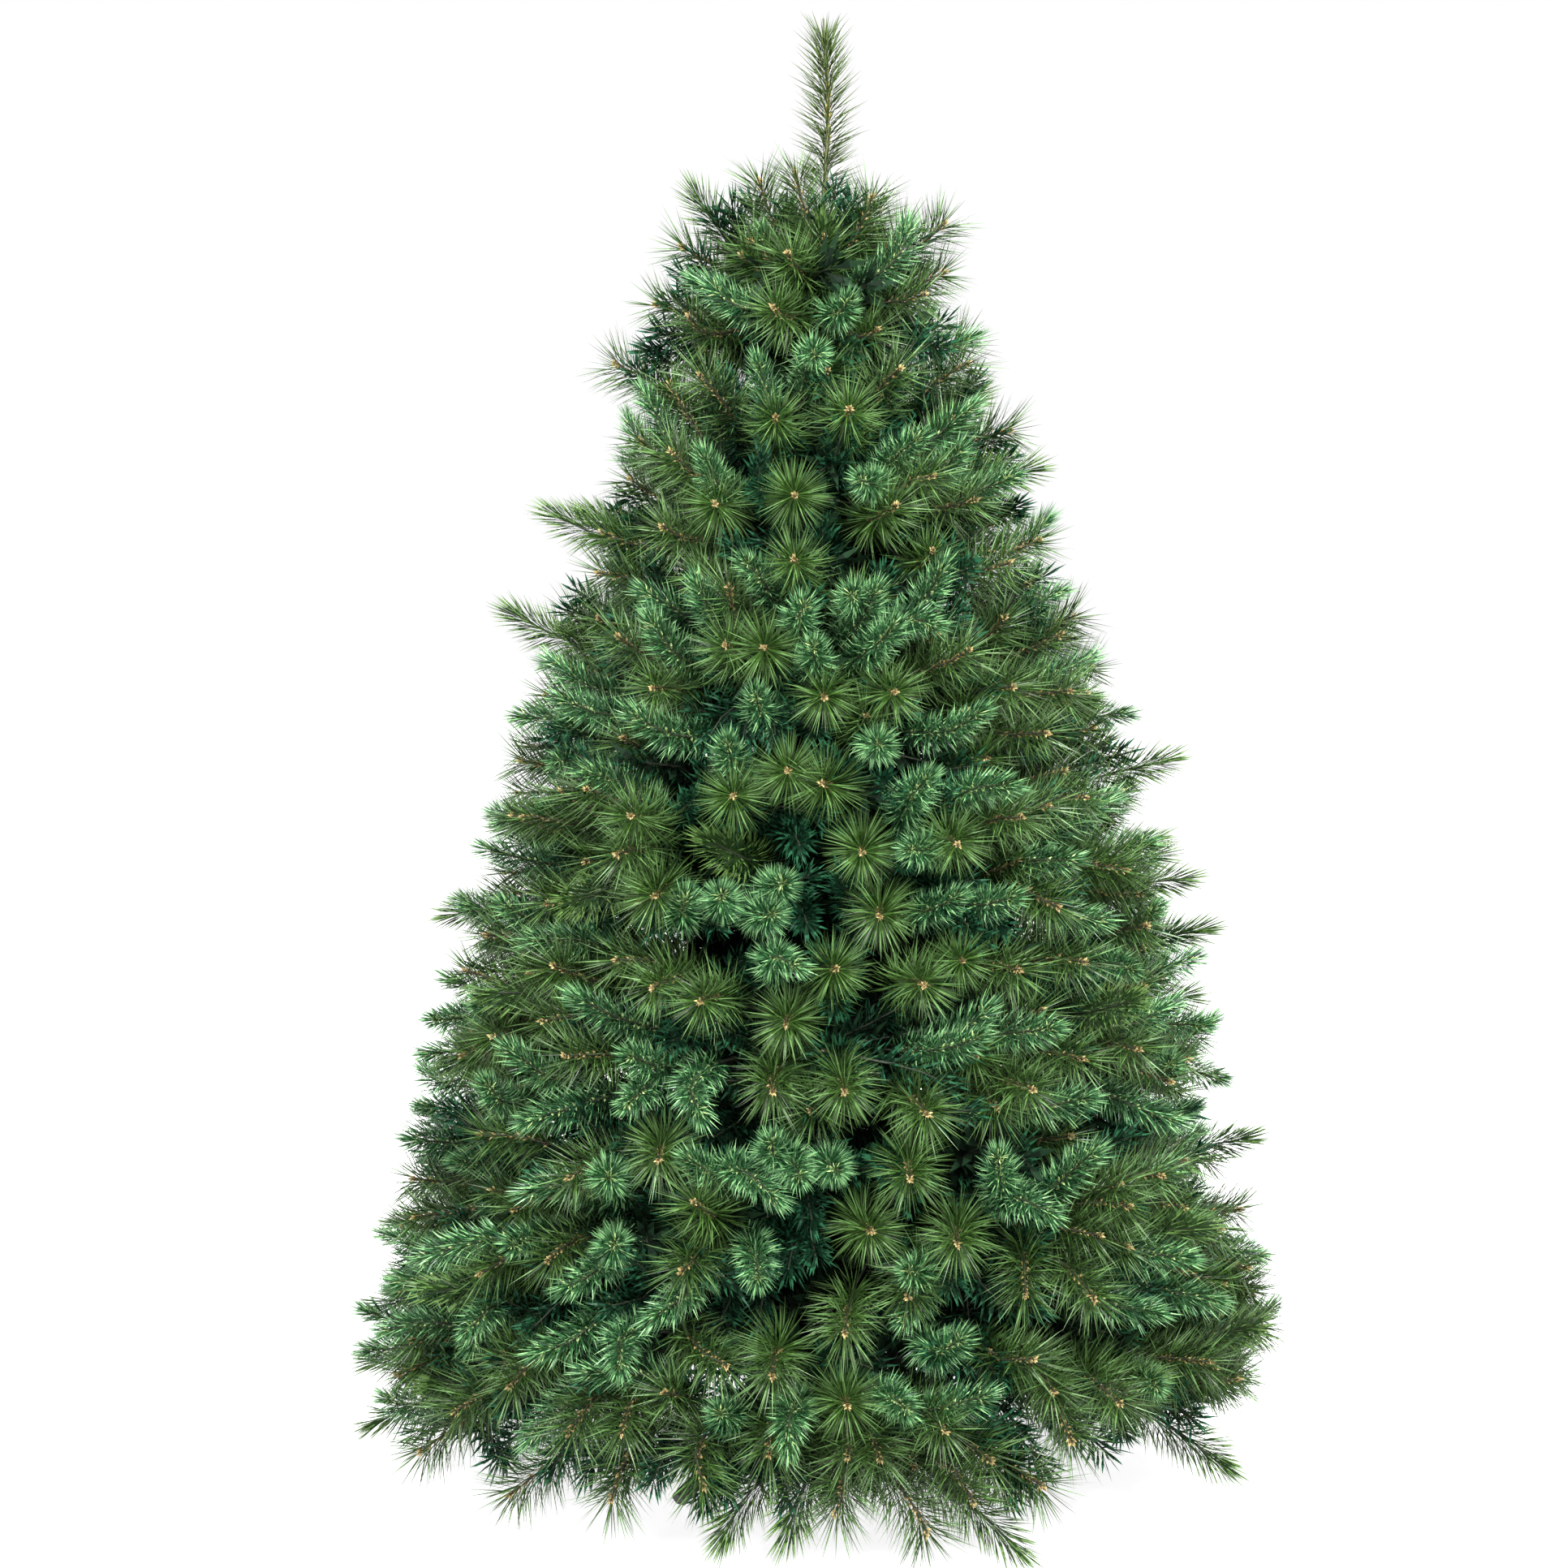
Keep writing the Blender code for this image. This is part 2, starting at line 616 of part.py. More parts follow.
def build_crown(foliage, wire, plastic):
    """Every tier of boughs and masses, and the leader."""
    draw = random.Random(SEED)
    for level, tier in enumerate(TIERS):
        height = bough_height(level)
        slope = tier_slope(level)
        azimuths = [math.radians(tier.first_azimuth + 360 * i / tier.masses) for i in range(tier.masses)]
        hinged = level < HINGED_TIERS
        if hinged:
            build_collar(level, azimuths, height, plastic)
        for i, azimuth in enumerate(azimuths):
            label = f"{level + 1}_{i + 1}"
            heading = along(azimuth, math.cos(slope), math.sin(slope))
            if hinged:
                root = along(azimuth, COLLAR_RADIUS - COLLAR_SLOT_DEPTH + 2 * GAP, height)
                tip = root + heading * BOUGH_LENGTH
                tube_object("bough_" + label, [root, tip], (BOUGH_ROOT_RADIUS, BOUGH_TIP_RADIUS), 8, wire)
                start = tip + heading * GAP
            else:
                pole_radius = POLE_RADII[sum(height > joint for joint in POLE_JOINTS)]
                standoff = BOUGH_TIP_RADIUS * abs(math.sin(slope)) + GAP
                start = along(azimuth, pole_radius + standoff, height)
            mass = Mass("foliage_" + label, level, azimuth, math.pi / tier.masses)
            mass_object(mass, start, draw, foliage)
    leader_object(draw, foliage)


def main():
    clear_scene()
    foliage = material("green_needles", (0.045, 0.120, 0.045), 0.6)
    wire = material("brown_wrapped_wire", (0.11, 0.07, 0.035), 0.8)
    plastic = material("green_plastic", (0.02, 0.06, 0.025), 0.5)
    pole_paint = material("green_painted_steel", (0.02, 0.07, 0.03), 0.45)
    black_paint = material("black_painted_steel", (0.012, 0.012, 0.013), 0.4)
    rubber = material("black_rubber", (0.01, 0.01, 0.01), 0.75)
    build_pole(pole_paint)
    build_stand(black_paint, rubber)
    build_crown(foliage, wire, plastic)


main()
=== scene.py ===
import math
import random
from collections import namedtuple

import bmesh
import bpy
import numpy as np
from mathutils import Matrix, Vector


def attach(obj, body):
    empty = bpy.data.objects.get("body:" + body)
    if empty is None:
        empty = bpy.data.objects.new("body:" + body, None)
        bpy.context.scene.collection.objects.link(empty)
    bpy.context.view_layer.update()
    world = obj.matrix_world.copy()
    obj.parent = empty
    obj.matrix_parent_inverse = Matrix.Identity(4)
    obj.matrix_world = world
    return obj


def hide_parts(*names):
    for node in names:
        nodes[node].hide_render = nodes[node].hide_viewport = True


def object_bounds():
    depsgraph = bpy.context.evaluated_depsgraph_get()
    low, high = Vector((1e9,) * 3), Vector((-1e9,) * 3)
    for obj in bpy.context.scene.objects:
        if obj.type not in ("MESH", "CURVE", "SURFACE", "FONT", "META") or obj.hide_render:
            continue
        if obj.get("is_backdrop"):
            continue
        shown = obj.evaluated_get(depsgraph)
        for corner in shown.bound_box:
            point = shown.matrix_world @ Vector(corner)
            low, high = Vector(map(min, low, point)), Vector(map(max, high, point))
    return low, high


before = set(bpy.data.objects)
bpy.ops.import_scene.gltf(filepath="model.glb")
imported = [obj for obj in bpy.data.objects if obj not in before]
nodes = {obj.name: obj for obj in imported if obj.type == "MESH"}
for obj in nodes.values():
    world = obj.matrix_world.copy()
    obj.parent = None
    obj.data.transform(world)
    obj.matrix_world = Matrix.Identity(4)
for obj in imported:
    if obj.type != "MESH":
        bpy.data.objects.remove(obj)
cad_low, cad_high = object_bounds()

# FOLDING STAND
# A steel socket with pairs of ears, and four round legs hinged in them, all powder coated in black.
# Each leg ends in a pushed-on rubber cap, which is what the tree stands on.


def set_inputs(tree, node, inputs):
    """Sets or links a node's inputs. A node given as a value stands for its first output."""
    for key, value in inputs.items():
        if isinstance(value, bpy.types.Node):
            tree.links.new(value.outputs[0], node.inputs[key])
        elif isinstance(value, bpy.types.NodeSocket):
            tree.links.new(value, node.inputs[key])
        else:
            node.inputs[key].default_value = value


def add_node(tree, kind, inputs=None, **settings):
    """Adds a node with its settings, values and links."""
    node = tree.nodes.new(kind)
    for name, value in settings.items():
        setattr(node, name, value)
    set_inputs(tree, node, inputs or {})
    return node


def linear(hex_colour):
    """An sRGB hex colour as linear red, green, blue and full alpha."""
    shares = [int(hex_colour[i : i + 2], 16) / 255 for i in (1, 3, 5)]
    return [s / 12.92 if s <= 0.04045 else ((s + 0.055) / 1.055) ** 2.4 for s in shares] + [1.0]


def new_material(name, hex_colour, roughness):
    """A plain material, with its node tree, its shader and its object coordinates to go on from."""
    made = bpy.data.materials.new(name)
    made.use_nodes = True
    tree = made.node_tree
    shader = tree.nodes["Principled BSDF"]
    set_inputs(tree, shader, {"Base Color": linear(hex_colour), "Roughness": roughness})
    return made, tree, shader, add_node(tree, "ShaderNodeTexCoord").outputs["Object"]


def finish_node(name, finish):
    """Gives a CAD node a better material."""
    for held in nodes[name].material_slots:
        held.material = finish


# Powder coat on steel: a fine orange peel, 0.8 mm from crest to crest, and a soft broad gloss.
black_coat, tree, shader, place = new_material("black_powder_coat_on_steel", "#0D0E0F", 0.36)
peel = add_node(tree, "ShaderNodeTexNoise", {"Vector": place, "Scale": 1200.0, "Detail": 2.0})
wear = add_node(tree, "ShaderNodeTexNoise", {"Vector": place, "Scale": 35.0, "Detail": 4.0})
gloss = add_node(tree, "ShaderNodeMapRange", {"Value": wear, "To Min": 0.34, "To Max": 0.52})
bump = add_node(tree, "ShaderNodeBump", {"Height": peel, "Strength": 0.25, "Distance": 0.0002})
set_inputs(tree, shader, {"Roughness": gloss, "Normal": bump})

# Moulded rubber: near black with a faint bloom in patches, and a fine spark-eroded grain.
rubber, tree, shader, place = new_material("moulded_black_rubber", "#0B0B0C", 0.40)
bloom = add_node(tree, "ShaderNodeTexNoise", {"Vector": place, "Scale": 60.0, "Detail": 5.0})
colours = {"Factor": bloom, 6: linear("#0A0A0B"), 7: linear("#151516")}
tone = add_node(tree, "ShaderNodeMix", colours, data_type="RGBA")
grain = add_node(tree, "ShaderNodeTexNoise", {"Vector": place, "Scale": 2200.0})
bump = add_node(tree, "ShaderNodeBump", {"Height": grain, "Strength": 0.3, "Distance": 0.0001})
set_inputs(tree, shader, {"Base Color": tone.outputs[2], "Normal": bump})

finish_node("stand_socket", black_coat)
for corner in ("front_left", "front_right", "back_left", "back_right"):
    finish_node("leg_" + corner, black_coat)
    finish_node("foot_" + corner, rubber)

# POLE
# Three drawn steel tubes, each swaged at its foot to plug into the one below, coated in dark green.
# The mouth of each lower tube is rolled, and the coating is scuffed where the tubes meet.
POLE_RADII = (0.0140, 0.0125, 0.0110)
POLE_FOOT = 0.068
POLE_JOINTS = (0.640, 1.140)
POLE_TOP = 1.540
POLE_SIDES = 24
ROLL = 0.0012
SWAGE = 0.86


def linked_object(name, data):
    """A new object with that data, linked to the scene."""
    made = bpy.data.objects.new(name, data)
    bpy.context.scene.collection.objects.link(made)
    return made


def mesh_object(name, bm, finish):
    """Turns a bmesh into a linked object of one material."""
    mesh = bpy.data.meshes.new(name)
    bm.to_mesh(mesh)
    bm.free()
    mesh.materials.append(finish)
    return linked_object(name, mesh)


def skin(bm, rings):
    """Joins rings of points, each as long as the next, into a closed shell."""
    sides = len(rings[0])
    for low, high in zip(rings, rings[1:]):
        for i in range(sides):
            j = (i + 1) % sides
            bm.faces.new((low[i], low[j], high[j], high[i]))
    bm.faces.new(rings[0][::-1])
    bm.faces.new(rings[-1])


def lathe(bm, profile, sides):
    """Turns (radius, height) points round a vertical axis into a closed shell."""
    rings = []
    for radius, height in profile:
        ring = []
        for i in range(sides):
            angle = math.tau * i / sides
            ring.append(bm.verts.new((radius * math.cos(angle), radius * math.sin(angle), height)))
        rings.append(ring)
    skin(bm, rings)


# Green stoved paint over steel: nearly even, with long faint draw lines and small scuffs.
green_paint, tree, shader, place = new_material("green_stoved_paint_on_steel", "#1E3A2A", 0.45)
stretch = add_node(tree, "ShaderNodeMapping", {"Vector": place, "Scale": (1.0, 1.0, 0.04)})
lines = add_node(tree, "ShaderNodeTexNoise", {"Vector": stretch, "Scale": 900.0})
scuffs = add_node(tree, "ShaderNodeTexNoise", {"Vector": place, "Scale": 90.0, "Detail": 6.0})
colours = {"Factor": scuffs, 6: linear("#183122"), 7: linear("#27493A")}
tone = add_node(tree, "ShaderNodeMix", colours, data_type="RGBA")
bump = add_node(tree, "ShaderNodeBump", {"Height": lines, "Strength": 0.15, "Distance": 0.0001})
set_inputs(tree, shader, {"Base Color": tone.outputs[2], "Normal": bump})

pole_feet = (POLE_FOOT,) + POLE_JOINTS
pole_tops = POLE_JOINTS + (POLE_TOP,)
tube_names = ("lower", "middle", "upper")
for name, foot, top, radius in zip(tube_names, pole_feet, pole_tops, POLE_RADII):
    bm = bmesh.new()
    rolled = radius + ROLL
    profile = [(radius * SWAGE, foot + 0.0003), (radius, foot + 0.003), (radius, top - 0.0060)]
    profile += [(rolled, top - 0.0045), (rolled, top - 0.0015), (radius * 0.9, top)]
    lathe(bm, profile, POLE_SIDES)
    tube = mesh_object(f"pole_tube_{name}", bm, green_paint)
    tube.data.shade_smooth()
    tube.data.set_sharp_from_angle(angle=math.radians(40))
    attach(tube, "root")
    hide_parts(f"pole_{name}")

# COLLARS
# Moulded nylon rings, each pushed over the pole and clamped at its tier's height. The hooked end of
# every hinged bough drops into one of its slots.

# Nylon in dark green: a slight sheen that changes over a fine eroded texture.
nylon, tree, shader, place = new_material("moulded_green_nylon", "#1D3B27", 0.5)
grain = add_node(tree, "ShaderNodeTexNoise", {"Vector": place, "Scale": 1500.0, "Detail": 3.0})
bump = add_node(tree, "ShaderNodeBump", {"Height": grain, "Strength": 0.3, "Distance": 0.0002})
gloss = add_node(tree, "ShaderNodeMapRange", {"Value": grain, "To Min": 0.42, "To Max": 0.6})
set_inputs(tree, shader, {"Normal": bump, "Roughness": gloss})
for level in (1, 2, 3):
    finish_node(f"collar_{level}", nylon)

# THE TREE'S GROWTH
# The crown is a bulging cone of tiers. Each mass of foliage is one bough's share of a tier: a wedge
# between two upright planes and two sloping seams, with one wire stem that its twigs fork from.
TREE_HEIGHT = 1.80
CROWN_FOOT = 0.020
CROWN_TOP = 1.60
WIDEST_HEIGHT = 0.19
WIDEST_RADIUS = 0.582
TOP_RADIUS = 0.128
CROWN_BULGE = 0.048
SKIRT_TUCK = 0.12
SKIRT_LIFT = 0.045
HINGED_TIERS = 3
COLLAR_RADIUS = 0.032
COLLAR_SLOT_DEPTH = 0.013
HOOK_CLEARANCE = 0.0006
BOUGH_LENGTH = 0.085
CORE_SETBACK = 0.115
CORE_DEPTH = 0.64
LOWEST_SEAM_SLOPE = -4.0
SEAM_SLOPE_STEP = 5.0
SPACE_MARGIN = 0.002
STAND_CLEARANCE_HEIGHT = 0.170
STAND_CLEARANCE_FALL = 0.55
SKIRT_SAG = 0.006
Tier = namedtuple("Tier", "masses first_azimuth")
TIERS = (Tier(5, -90), Tier(5, -54), Tier(4, -90), Tier(4, -45), Tier(4, -90))
TIERS += (Tier(3, -30), Tier(3, -90))
TIER_BAND = (CROWN_TOP - CROWN_FOOT) / len(TIERS)
Mass = namedtuple("Mass", "node level azimuth half_width start heading stem_length")


def along(azimuth, radius, height):
    """The point at that azimuth and radius round the pole, and at that height."""
    return Vector((radius * math.cos(azimuth), radius * math.sin(azimuth), height))


def crown_radius(height):
    """How far the needles reach at a height: a bulging cone, tucked in at the skirt."""
    if height < WIDEST_HEIGHT:
        return WIDEST_RADIUS - SKIRT_TUCK * (WIDEST_HEIGHT - height)
    share = min(1.0, (height - WIDEST_HEIGHT) / (CROWN_TOP - WIDEST_HEIGHT))
    straight = WIDEST_RADIUS + (TOP_RADIUS - WIDEST_RADIUS) * share
    return straight + CROWN_BULGE * 4 * share * (1 - share)


def seam_height(seam, radius):
    """The height at that radius of a sloping seam. Seam 1 lies on the first tier."""
    outer = CROWN_FOOT + TIER_BAND * seam
    slope = math.tan(math.radians(LOWEST_SEAM_SLOPE + SEAM_SLOPE_STEP * (seam - 1)))
    return outer + (radius - crown_radius(outer)) * slope


def tier_floor(level, radius):
    """The lowest height that a tier fills at that radius. The first tier clears the stand."""
    if level == 0:
        return max(CROWN_FOOT - SKIRT_SAG, STAND_CLEARANCE_HEIGHT - STAND_CLEARANCE_FALL * radius)
    return seam_height(level, radius) + SPACE_MARGIN


def tier_middle(level, radius):
    """The height half way up a tier at that radius."""
    top = CROWN_TOP if level == len(TIERS) - 1 else seam_height(level + 1, radius) - SPACE_MARGIN
    return (tier_floor(level, radius) + min(top, CROWN_TOP)) / 2


def tier_slope(level):
    """How steeply a tier's boughs rise: a little downwards at the skirt, and upwards at the top."""
    return math.radians(LOWEST_SEAM_SLOPE + SEAM_SLOPE_STEP * (level - 0.5))


def tier_span(level):
    """The inner and outer radius of the dense part of a tier."""
    outer = crown_radius(CROWN_FOOT + TIER_BAND * (level + 0.5)) - CORE_SETBACK
    return outer * (1 - CORE_DEPTH), outer


def bough_height(level):
    """The height on the pole from which a bough rises to its tier's middle."""
    radius = sum(tier_span(level)) / 2
    return tier_middle(level, radius) - radius * math.tan(tier_slope(level))


masses = []
bough_ends = []
for level, tier in enumerate(TIERS):
    height = bough_height(level)
    slope = tier_slope(level)
    for i in range(tier.masses):
        azimuth = math.radians(tier.first_azimuth + 360 * i / tier.masses)
        heading = along(azimuth, math.cos(slope), math.sin(slope))
        start = along(azimuth, POLE_RADII[sum(height > joint for joint in POLE_JOINTS)], height)
        if level < HINGED_TIERS:
            root = along(azimuth, COLLAR_RADIUS - COLLAR_SLOT_DEPTH + HOOK_CLEARANCE, height)
            start = root + heading * BOUGH_LENGTH
            bough_ends.append((f"bough_{level + 1}_{i + 1}", root, start))
        stem_length = (tier_span(level)[1] - start.xy.length) / heading.xy.length
        name = f"foliage_{level + 1}_{i + 1}"
        half_width = math.pi / tier.masses
        masses.append(Mass(name, level, azimuth, half_width, start, heading, stem_length))

# BOUGHS
# Steel wire about 4 mm thick, bound in a close spiral of brown slit film that leaves soft ridges.
# Each is bent to a hook at the collar and runs out to where its tips are wound on.
BOUGH_ROOT_RADIUS = 0.0045
BOUGH_TIP_RADIUS = 0.0036
BINDING_PITCH = 0.0042
BINDING_RELIEF = 0.0005
BOUGH_SIDES = 10

# Slit polyvinyl film bound on wire: dull brown, darker in the hollows of its fine fibre bump as
# painted shade.
brown_film, tree, shader, place = new_material("brown_slit_film_on_wire", "#5B4630", 0.75)
fibres = add_node(tree, "ShaderNodeTexNoise", {"Vector": place, "Scale": 420.0, "Detail": 4.0})
colours = {"Factor": fibres, 6: linear("#3E2F20"), 7: linear("#7A6142")}
tone = add_node(tree, "ShaderNodeMix", colours, data_type="RGBA")
bump = add_node(tree, "ShaderNodeBump", {"Height": fibres, "Strength": 0.5, "Distance": 0.0004})
set_inputs(tree, shader, {"Base Color": tone.outputs[2], "Normal": bump})


def bound_limb(bm, root, tip, root_radius, tip_radius):
    """A tapering limb whose skin rises and falls with a spiral binding."""
    heading = (tip - root).normalized()
    side = heading.cross(Vector((0, 0, 1))).normalized()
    other = heading.cross(side)
    length = (tip - root).length
    count = int(length / (BINDING_PITCH / 4))
    rings = []
    for k in range(count + 1):
        share = k / count
        radius = root_radius + (tip_radius - root_radius) * share - BINDING_RELIEF
        ring = []
        for i in range(BOUGH_SIDES):
            angle = math.tau * i / BOUGH_SIDES
            turn = share * length / BINDING_PITCH * math.tau - angle
            swell = radius + BINDING_RELIEF * math.cos(turn)
            offset = side * (math.cos(angle) * swell) + other * (math.sin(angle) * swell)
            ring.append(bm.verts.new(root + heading * (share * length) + offset))
        rings.append(ring)
    skin(bm, rings)


for name, root, tip in bough_ends:
    bm = bmesh.new()
    bound_limb(bm, root, tip, BOUGH_ROOT_RADIUS, BOUGH_TIP_RADIUS)
    bmesh.ops.recalc_face_normals(bm, faces=bm.faces)
    limb = mesh_object(name.replace("bough", "bound_limb"), bm, brown_film)
    limb.data.shade_smooth()
    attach(limb, "root")
    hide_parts(name)

# TWIGS
# Each bough's stem goes on as wire, and twigs of twisted wire fork from it and curve out to a tip.
# Pine tips point outwards, film tips fork aside below them, and more twigs fill the inside.
Layer = namedtuple("Layer", "tips per_square_metre setback swing rise overhang dressed")
Tip = namedtuple("Tip", "path size")
pine_tips, film_tips, olive_tips, shaded_tips, inner_tips = [], [], [], [], []
LAYERS = (
    Layer(pine_tips, 104, (0.0, 0.065), (0, 26), (-18, 30), 0.036, 0.108),
    Layer(film_tips, 80, (0.010, 0.070), (22, 64), (-24, 50), 0.010, 0.130),
    Layer(olive_tips, 16, (0.0, 0.060), (10, 40), (-20, 30), 0.018, 0.180),
    Layer(shaded_tips, 140, (0.070, 0.140), (0, 75), (-35, 60), 0.0, 0.150),
)
SHADED_TOP = 1.43
SETBACK_BIAS = 1.6
# The tips are scattered evenly over a mass's slanting outer face, and each strays a little.
ACROSS_STEP, UP_STEP = 0.7548776662, 0.5698402910
STRAY_AZIMUTH, STRAY_HEIGHT = 0.02, 0.012
FACE_SLANT = 1.04
# Some more upright tips close the crown's top round the leader's foot.
CROWN_TOP_TIPS = 4
TOP_REACH, TOP_DROP, TOP_RISE = (0.25, 0.8), (0.02, 0.08), (45, 75)
# The skirt's tips droop in three rows. At the front the two lower rows are left to the placed tips.
SKIRT_EDGE, SHADED_SKIRT_DROP = 0.125, 0.045
SKIRT_TIPS = 17
SKIRT_ROWS, SKIRT_ROW_DEPTH = (0.025, 0.055, 0.095), 0.030
SKIRT_SETBACK, SKIRT_SCATTER = 0.030, 0.07
SKIRT_RISE, SKIRT_SWING, SKIRT_DRESSED = (-52, -26), 24, (0.18, 0.23)
FRONT_SINE = -0.15
# Behind, a few tips hang over each seam between two masses of the lowest tier.
SEAM_TIPS = (0.105, 0.140, 0.185, 0.230)
SEAM_DROOP, SEAM_SETBACK, SEAM_DRESSED, SEAM_SIZE = math.radians(34), 0.035, 0.19, 1.05
# The inside is filled evenly, and more closely along the pole.
INNER_PER_SQUARE_METRE, INNER_ALONG_POLE = 185, 44
INNER_SETBACK, INNER_BIAS, INNER_NEAREST, POLE_BAND = 0.085, 0.7, 0.04, (0.03, 0.12)
INNER_LOWEST, INNER_HIGHEST = 0.19, SHADED_TOP + 0.05
INNER_RISE, INNER_SWING, INNER_DRESSED = (-45, 60), 80, 0.19
# A twig leaves the stem at this angle, within this share of its length, and ends in a straight run.
FORK_ANGLE = math.radians(46)
FORK_FROM, FORK_TO = 0.06, 0.94
LEAVING_ASIDE, CURVE_PULL, STRAIGHT_RUN = 0.6, 0.36, 0.14
OWN_SPACE = 0.058
SPRAY_DROOP, SPRAY_LIFT, SPRAY_TOP_LIFT = -12, 24, 44

# The tips that show at the front, where the photographed tree has them. Each has its place across
# and up in millimetres, and its heading to the right and up in hundredths of its whole heading.
PLACED_PINE = (
    (114, 61, 25, -80), (-358, 69, -78, -55), (-238, 86, -10, -75), (-471, 89, -75, -60),
    (12, 89, -45, -80), (166, 94, 30, -75), (245, 102, 65, -40), (-132, 115, 45, -80),
    (186, 137, 50, -40), (62, 147, 15, -70), (26, 148, -20, -60), (-60, 152, 10, -70),
    (278, 152, 5, -65), (-424, 154, -70, -45), (-286, 160, -30, -60), (-225, 165, 0, -60),
    (134, 176, 20, -30), (335, 187, 40, -30), (-356, 198, -40, -50), (535, 202, 95, 0),
    (452, 204, 92, -5), (258, 207, 10, -40), (26, 210, 5, -10), (-57, 239, 0, -55),
    (235, 246, 75, 35), (-107, 247, 60, 0), (519, 275, 85, -20), (23, 287, 0, -25),
    (305, 304, 10, -25), (-395, 313, -75, -45), (226, 314, 0, -60), (523, 328, 90, 25),
    (476, 339, 70, -10), (-159, 345, -50, -30), (-486, 349, -90, -10), (148, 378, 5, -20),
    (-498, 379, -90, 20), (54, 393, 30, 5), (-145, 424, -50, 50), (392, 426, 60, 10),
    (-288, 438, -60, -45), (95, 451, 5, -30), (-184, 466, 0, -40), (116, 518, 5, -10),
    (237, 539, 25, 0), (439, 539, 90, 20), (-56, 543, 20, -25), (23, 545, -10, -5),
    (-425, 549, -95, 0), (299, 563, 40, -5), (369, 568, 55, 0), (-295, 571, -65, 10),
    (-42, 616, 5, -25), (-139, 641, -10, -10), (114, 659, 5, -15), (225, 668, 35, -15),
    (304, 672, 45, -10), (15, 678, 15, 0), (-236, 679, -75, -5), (-403, 683, -85, -15),
    (63, 735, 0, -5), (-192, 754, -20, 0), (-236, 798, -60, -20), (44, 806, 5, -5),
    (154, 812, 25, -20), (-354, 830, -98, 0), (230, 840, 75, 0), (-220, 842, -20, 0),
    (312, 855, 60, -10), (-102, 868, -5, -5), (-274, 869, -60, 20), (-2, 882, -35, 0),
    (-366, 889, -95, 15), (-39, 897, -5, 0), (263, 933, 75, 15), (2, 977, 0, -5),
    (294, 980, 80, 15), (84, 984, 10, 10), (-197, 986, -25, 0), (224, 987, 50, 10),
    (335, 1002, 85, 40), (171, 1031, 65, 50), (-67, 1034, 10, -5), (-112, 1037, -10, 20),
    (-240, 1045, -60, 55), (314, 1065, 92, 35), (-108, 1104, 0, 80), (-268, 1118, -95, 0),
    (223, 1131, 80, 10), (-33, 1137, -5, 5), (263, 1158, 80, 55), (-188, 1174, -60, 50),
    (88, 1198, 60, 40), (-125, 1200, -15, 15), (184, 1205, 80, 25), (-31, 1209, 0, -5),
    (131, 1232, 75, 10), (234, 1292, 90, 10), (-54, 1302, -5, 5), (33, 1311, 15, 10),
    (-144, 1353, -55, 45), (94, 1360, 60, 25), (179, 1371, 85, 25), (-251, 1373, -85, 30),
    (-57, 1432, -20, 50), (-201, 1445, -85, 40), (125, 1451, 75, 30), (153, 1485, 80, 45),
    (-40, 1497, -30, 45), (-169, 1516, -75, 50), (153, 1544, 70, 65), (62, 1570, 30, 92),
    (-74, 1589, -20, 93), (-32, 1597, -30, 90),
)
PLACED_FILM = (
    (-327, 148, -62, -53), (-40, 168, 0, -82), (-545, 175, -82, 4), (-115, 200, -5, 30),
    (90, 206, 21, -21), (176, 216, 76, 30), (-226, 244, 23, -47), (-317, 249, -82, 0),
    (456, 275, 82, 0), (-500, 276, -82, -5), (152, 278, 53, 62), (379, 280, 80, 16),
    (-189, 298, -77, -29), (-288, 321, -75, -19), (415, 334, 82, 4), (-72, 346, -3, -30),
    (-232, 376, 20, 61), (254, 405, 73, -37), (-495, 430, -81, 13), (-54, 434, 58, -58),
    (-27, 456, 10, -28), (14, 461, 30, -5), (307, 465, 58, 58), (-478, 470, -82, 9),
    (-149, 470, -64, 51), (196, 471, 0, 62), (-58, 493, 0, 76), (-334, 496, -80, -19),
    (-138, 520, 49, -49), (-220, 524, -20, -22), (298, 524, 73, 37), (-218, 577, -43, 43),
    (454, 578, 81, 9), (172, 602, 51, 41), (258, 606, 61, 20), (-452, 616, -70, 43),
    (-278, 638, -62, 53), (-31, 682, 71, -41), (321, 717, 82, 3), (-57, 739, 22, 21),
    (215, 752, 73, 37), (-155, 753, 19, 75), (-114, 760, 0, 42), (-45, 773, 12, 28),
    (-399, 787, -74, 35), (288, 788, 81, 10), (98, 808, -30, 3), (212, 877, 82, -5),
    (-273, 888, -81, 13), (119, 888, 43, 43), (-108, 926, 0, 76), (63, 927, -15, 26),
    (-360, 944, -80, 20), (375, 944, 80, 20), (-215, 955, -58, 58), (180, 958, 56, 60),
    (-302, 969, -68, 45), (-76, 981, 0, 62), (-10, 1037, 0, 49), (129, 1059, 59, -39),
    (81, 1060, 23, 47), (-197, 1063, -26, 78), (-20, 1083, 29, 29), (32, 1094, -29, -6),
    (60, 1099, 20, 61), (-142, 1104, -21, 79), (139, 1125, 26, 78), (-87, 1132, -36, 36),
    (45, 1226, -29, 8), (224, 1231, 71, 41), (-136, 1253, -26, 78), (162, 1263, 42, 70),
    (112, 1275, 59, 39), (-74, 1363, -28, 75), (-7, 1372, 0, -49), (32, 1438, 30, 60),
)
PLACED_OLIVE = (
    (208, 41, 62, -72), (-545, 63, -88, -45), (-107, 63, -35, -85), (-37, 71, -30, -85),
    (465, 74, 75, -62), (-545, 140, -98, -8), (521, 415, 97, 20), (464, 675, 98, 10),
    (441, 739, 97, 15), (401, 789, 95, 20), (420, 885, 97, 20), (-369, 1063, -85, 50),
    (-319, 1185, -83, 55), (-146, 1570, -55, 80),
)
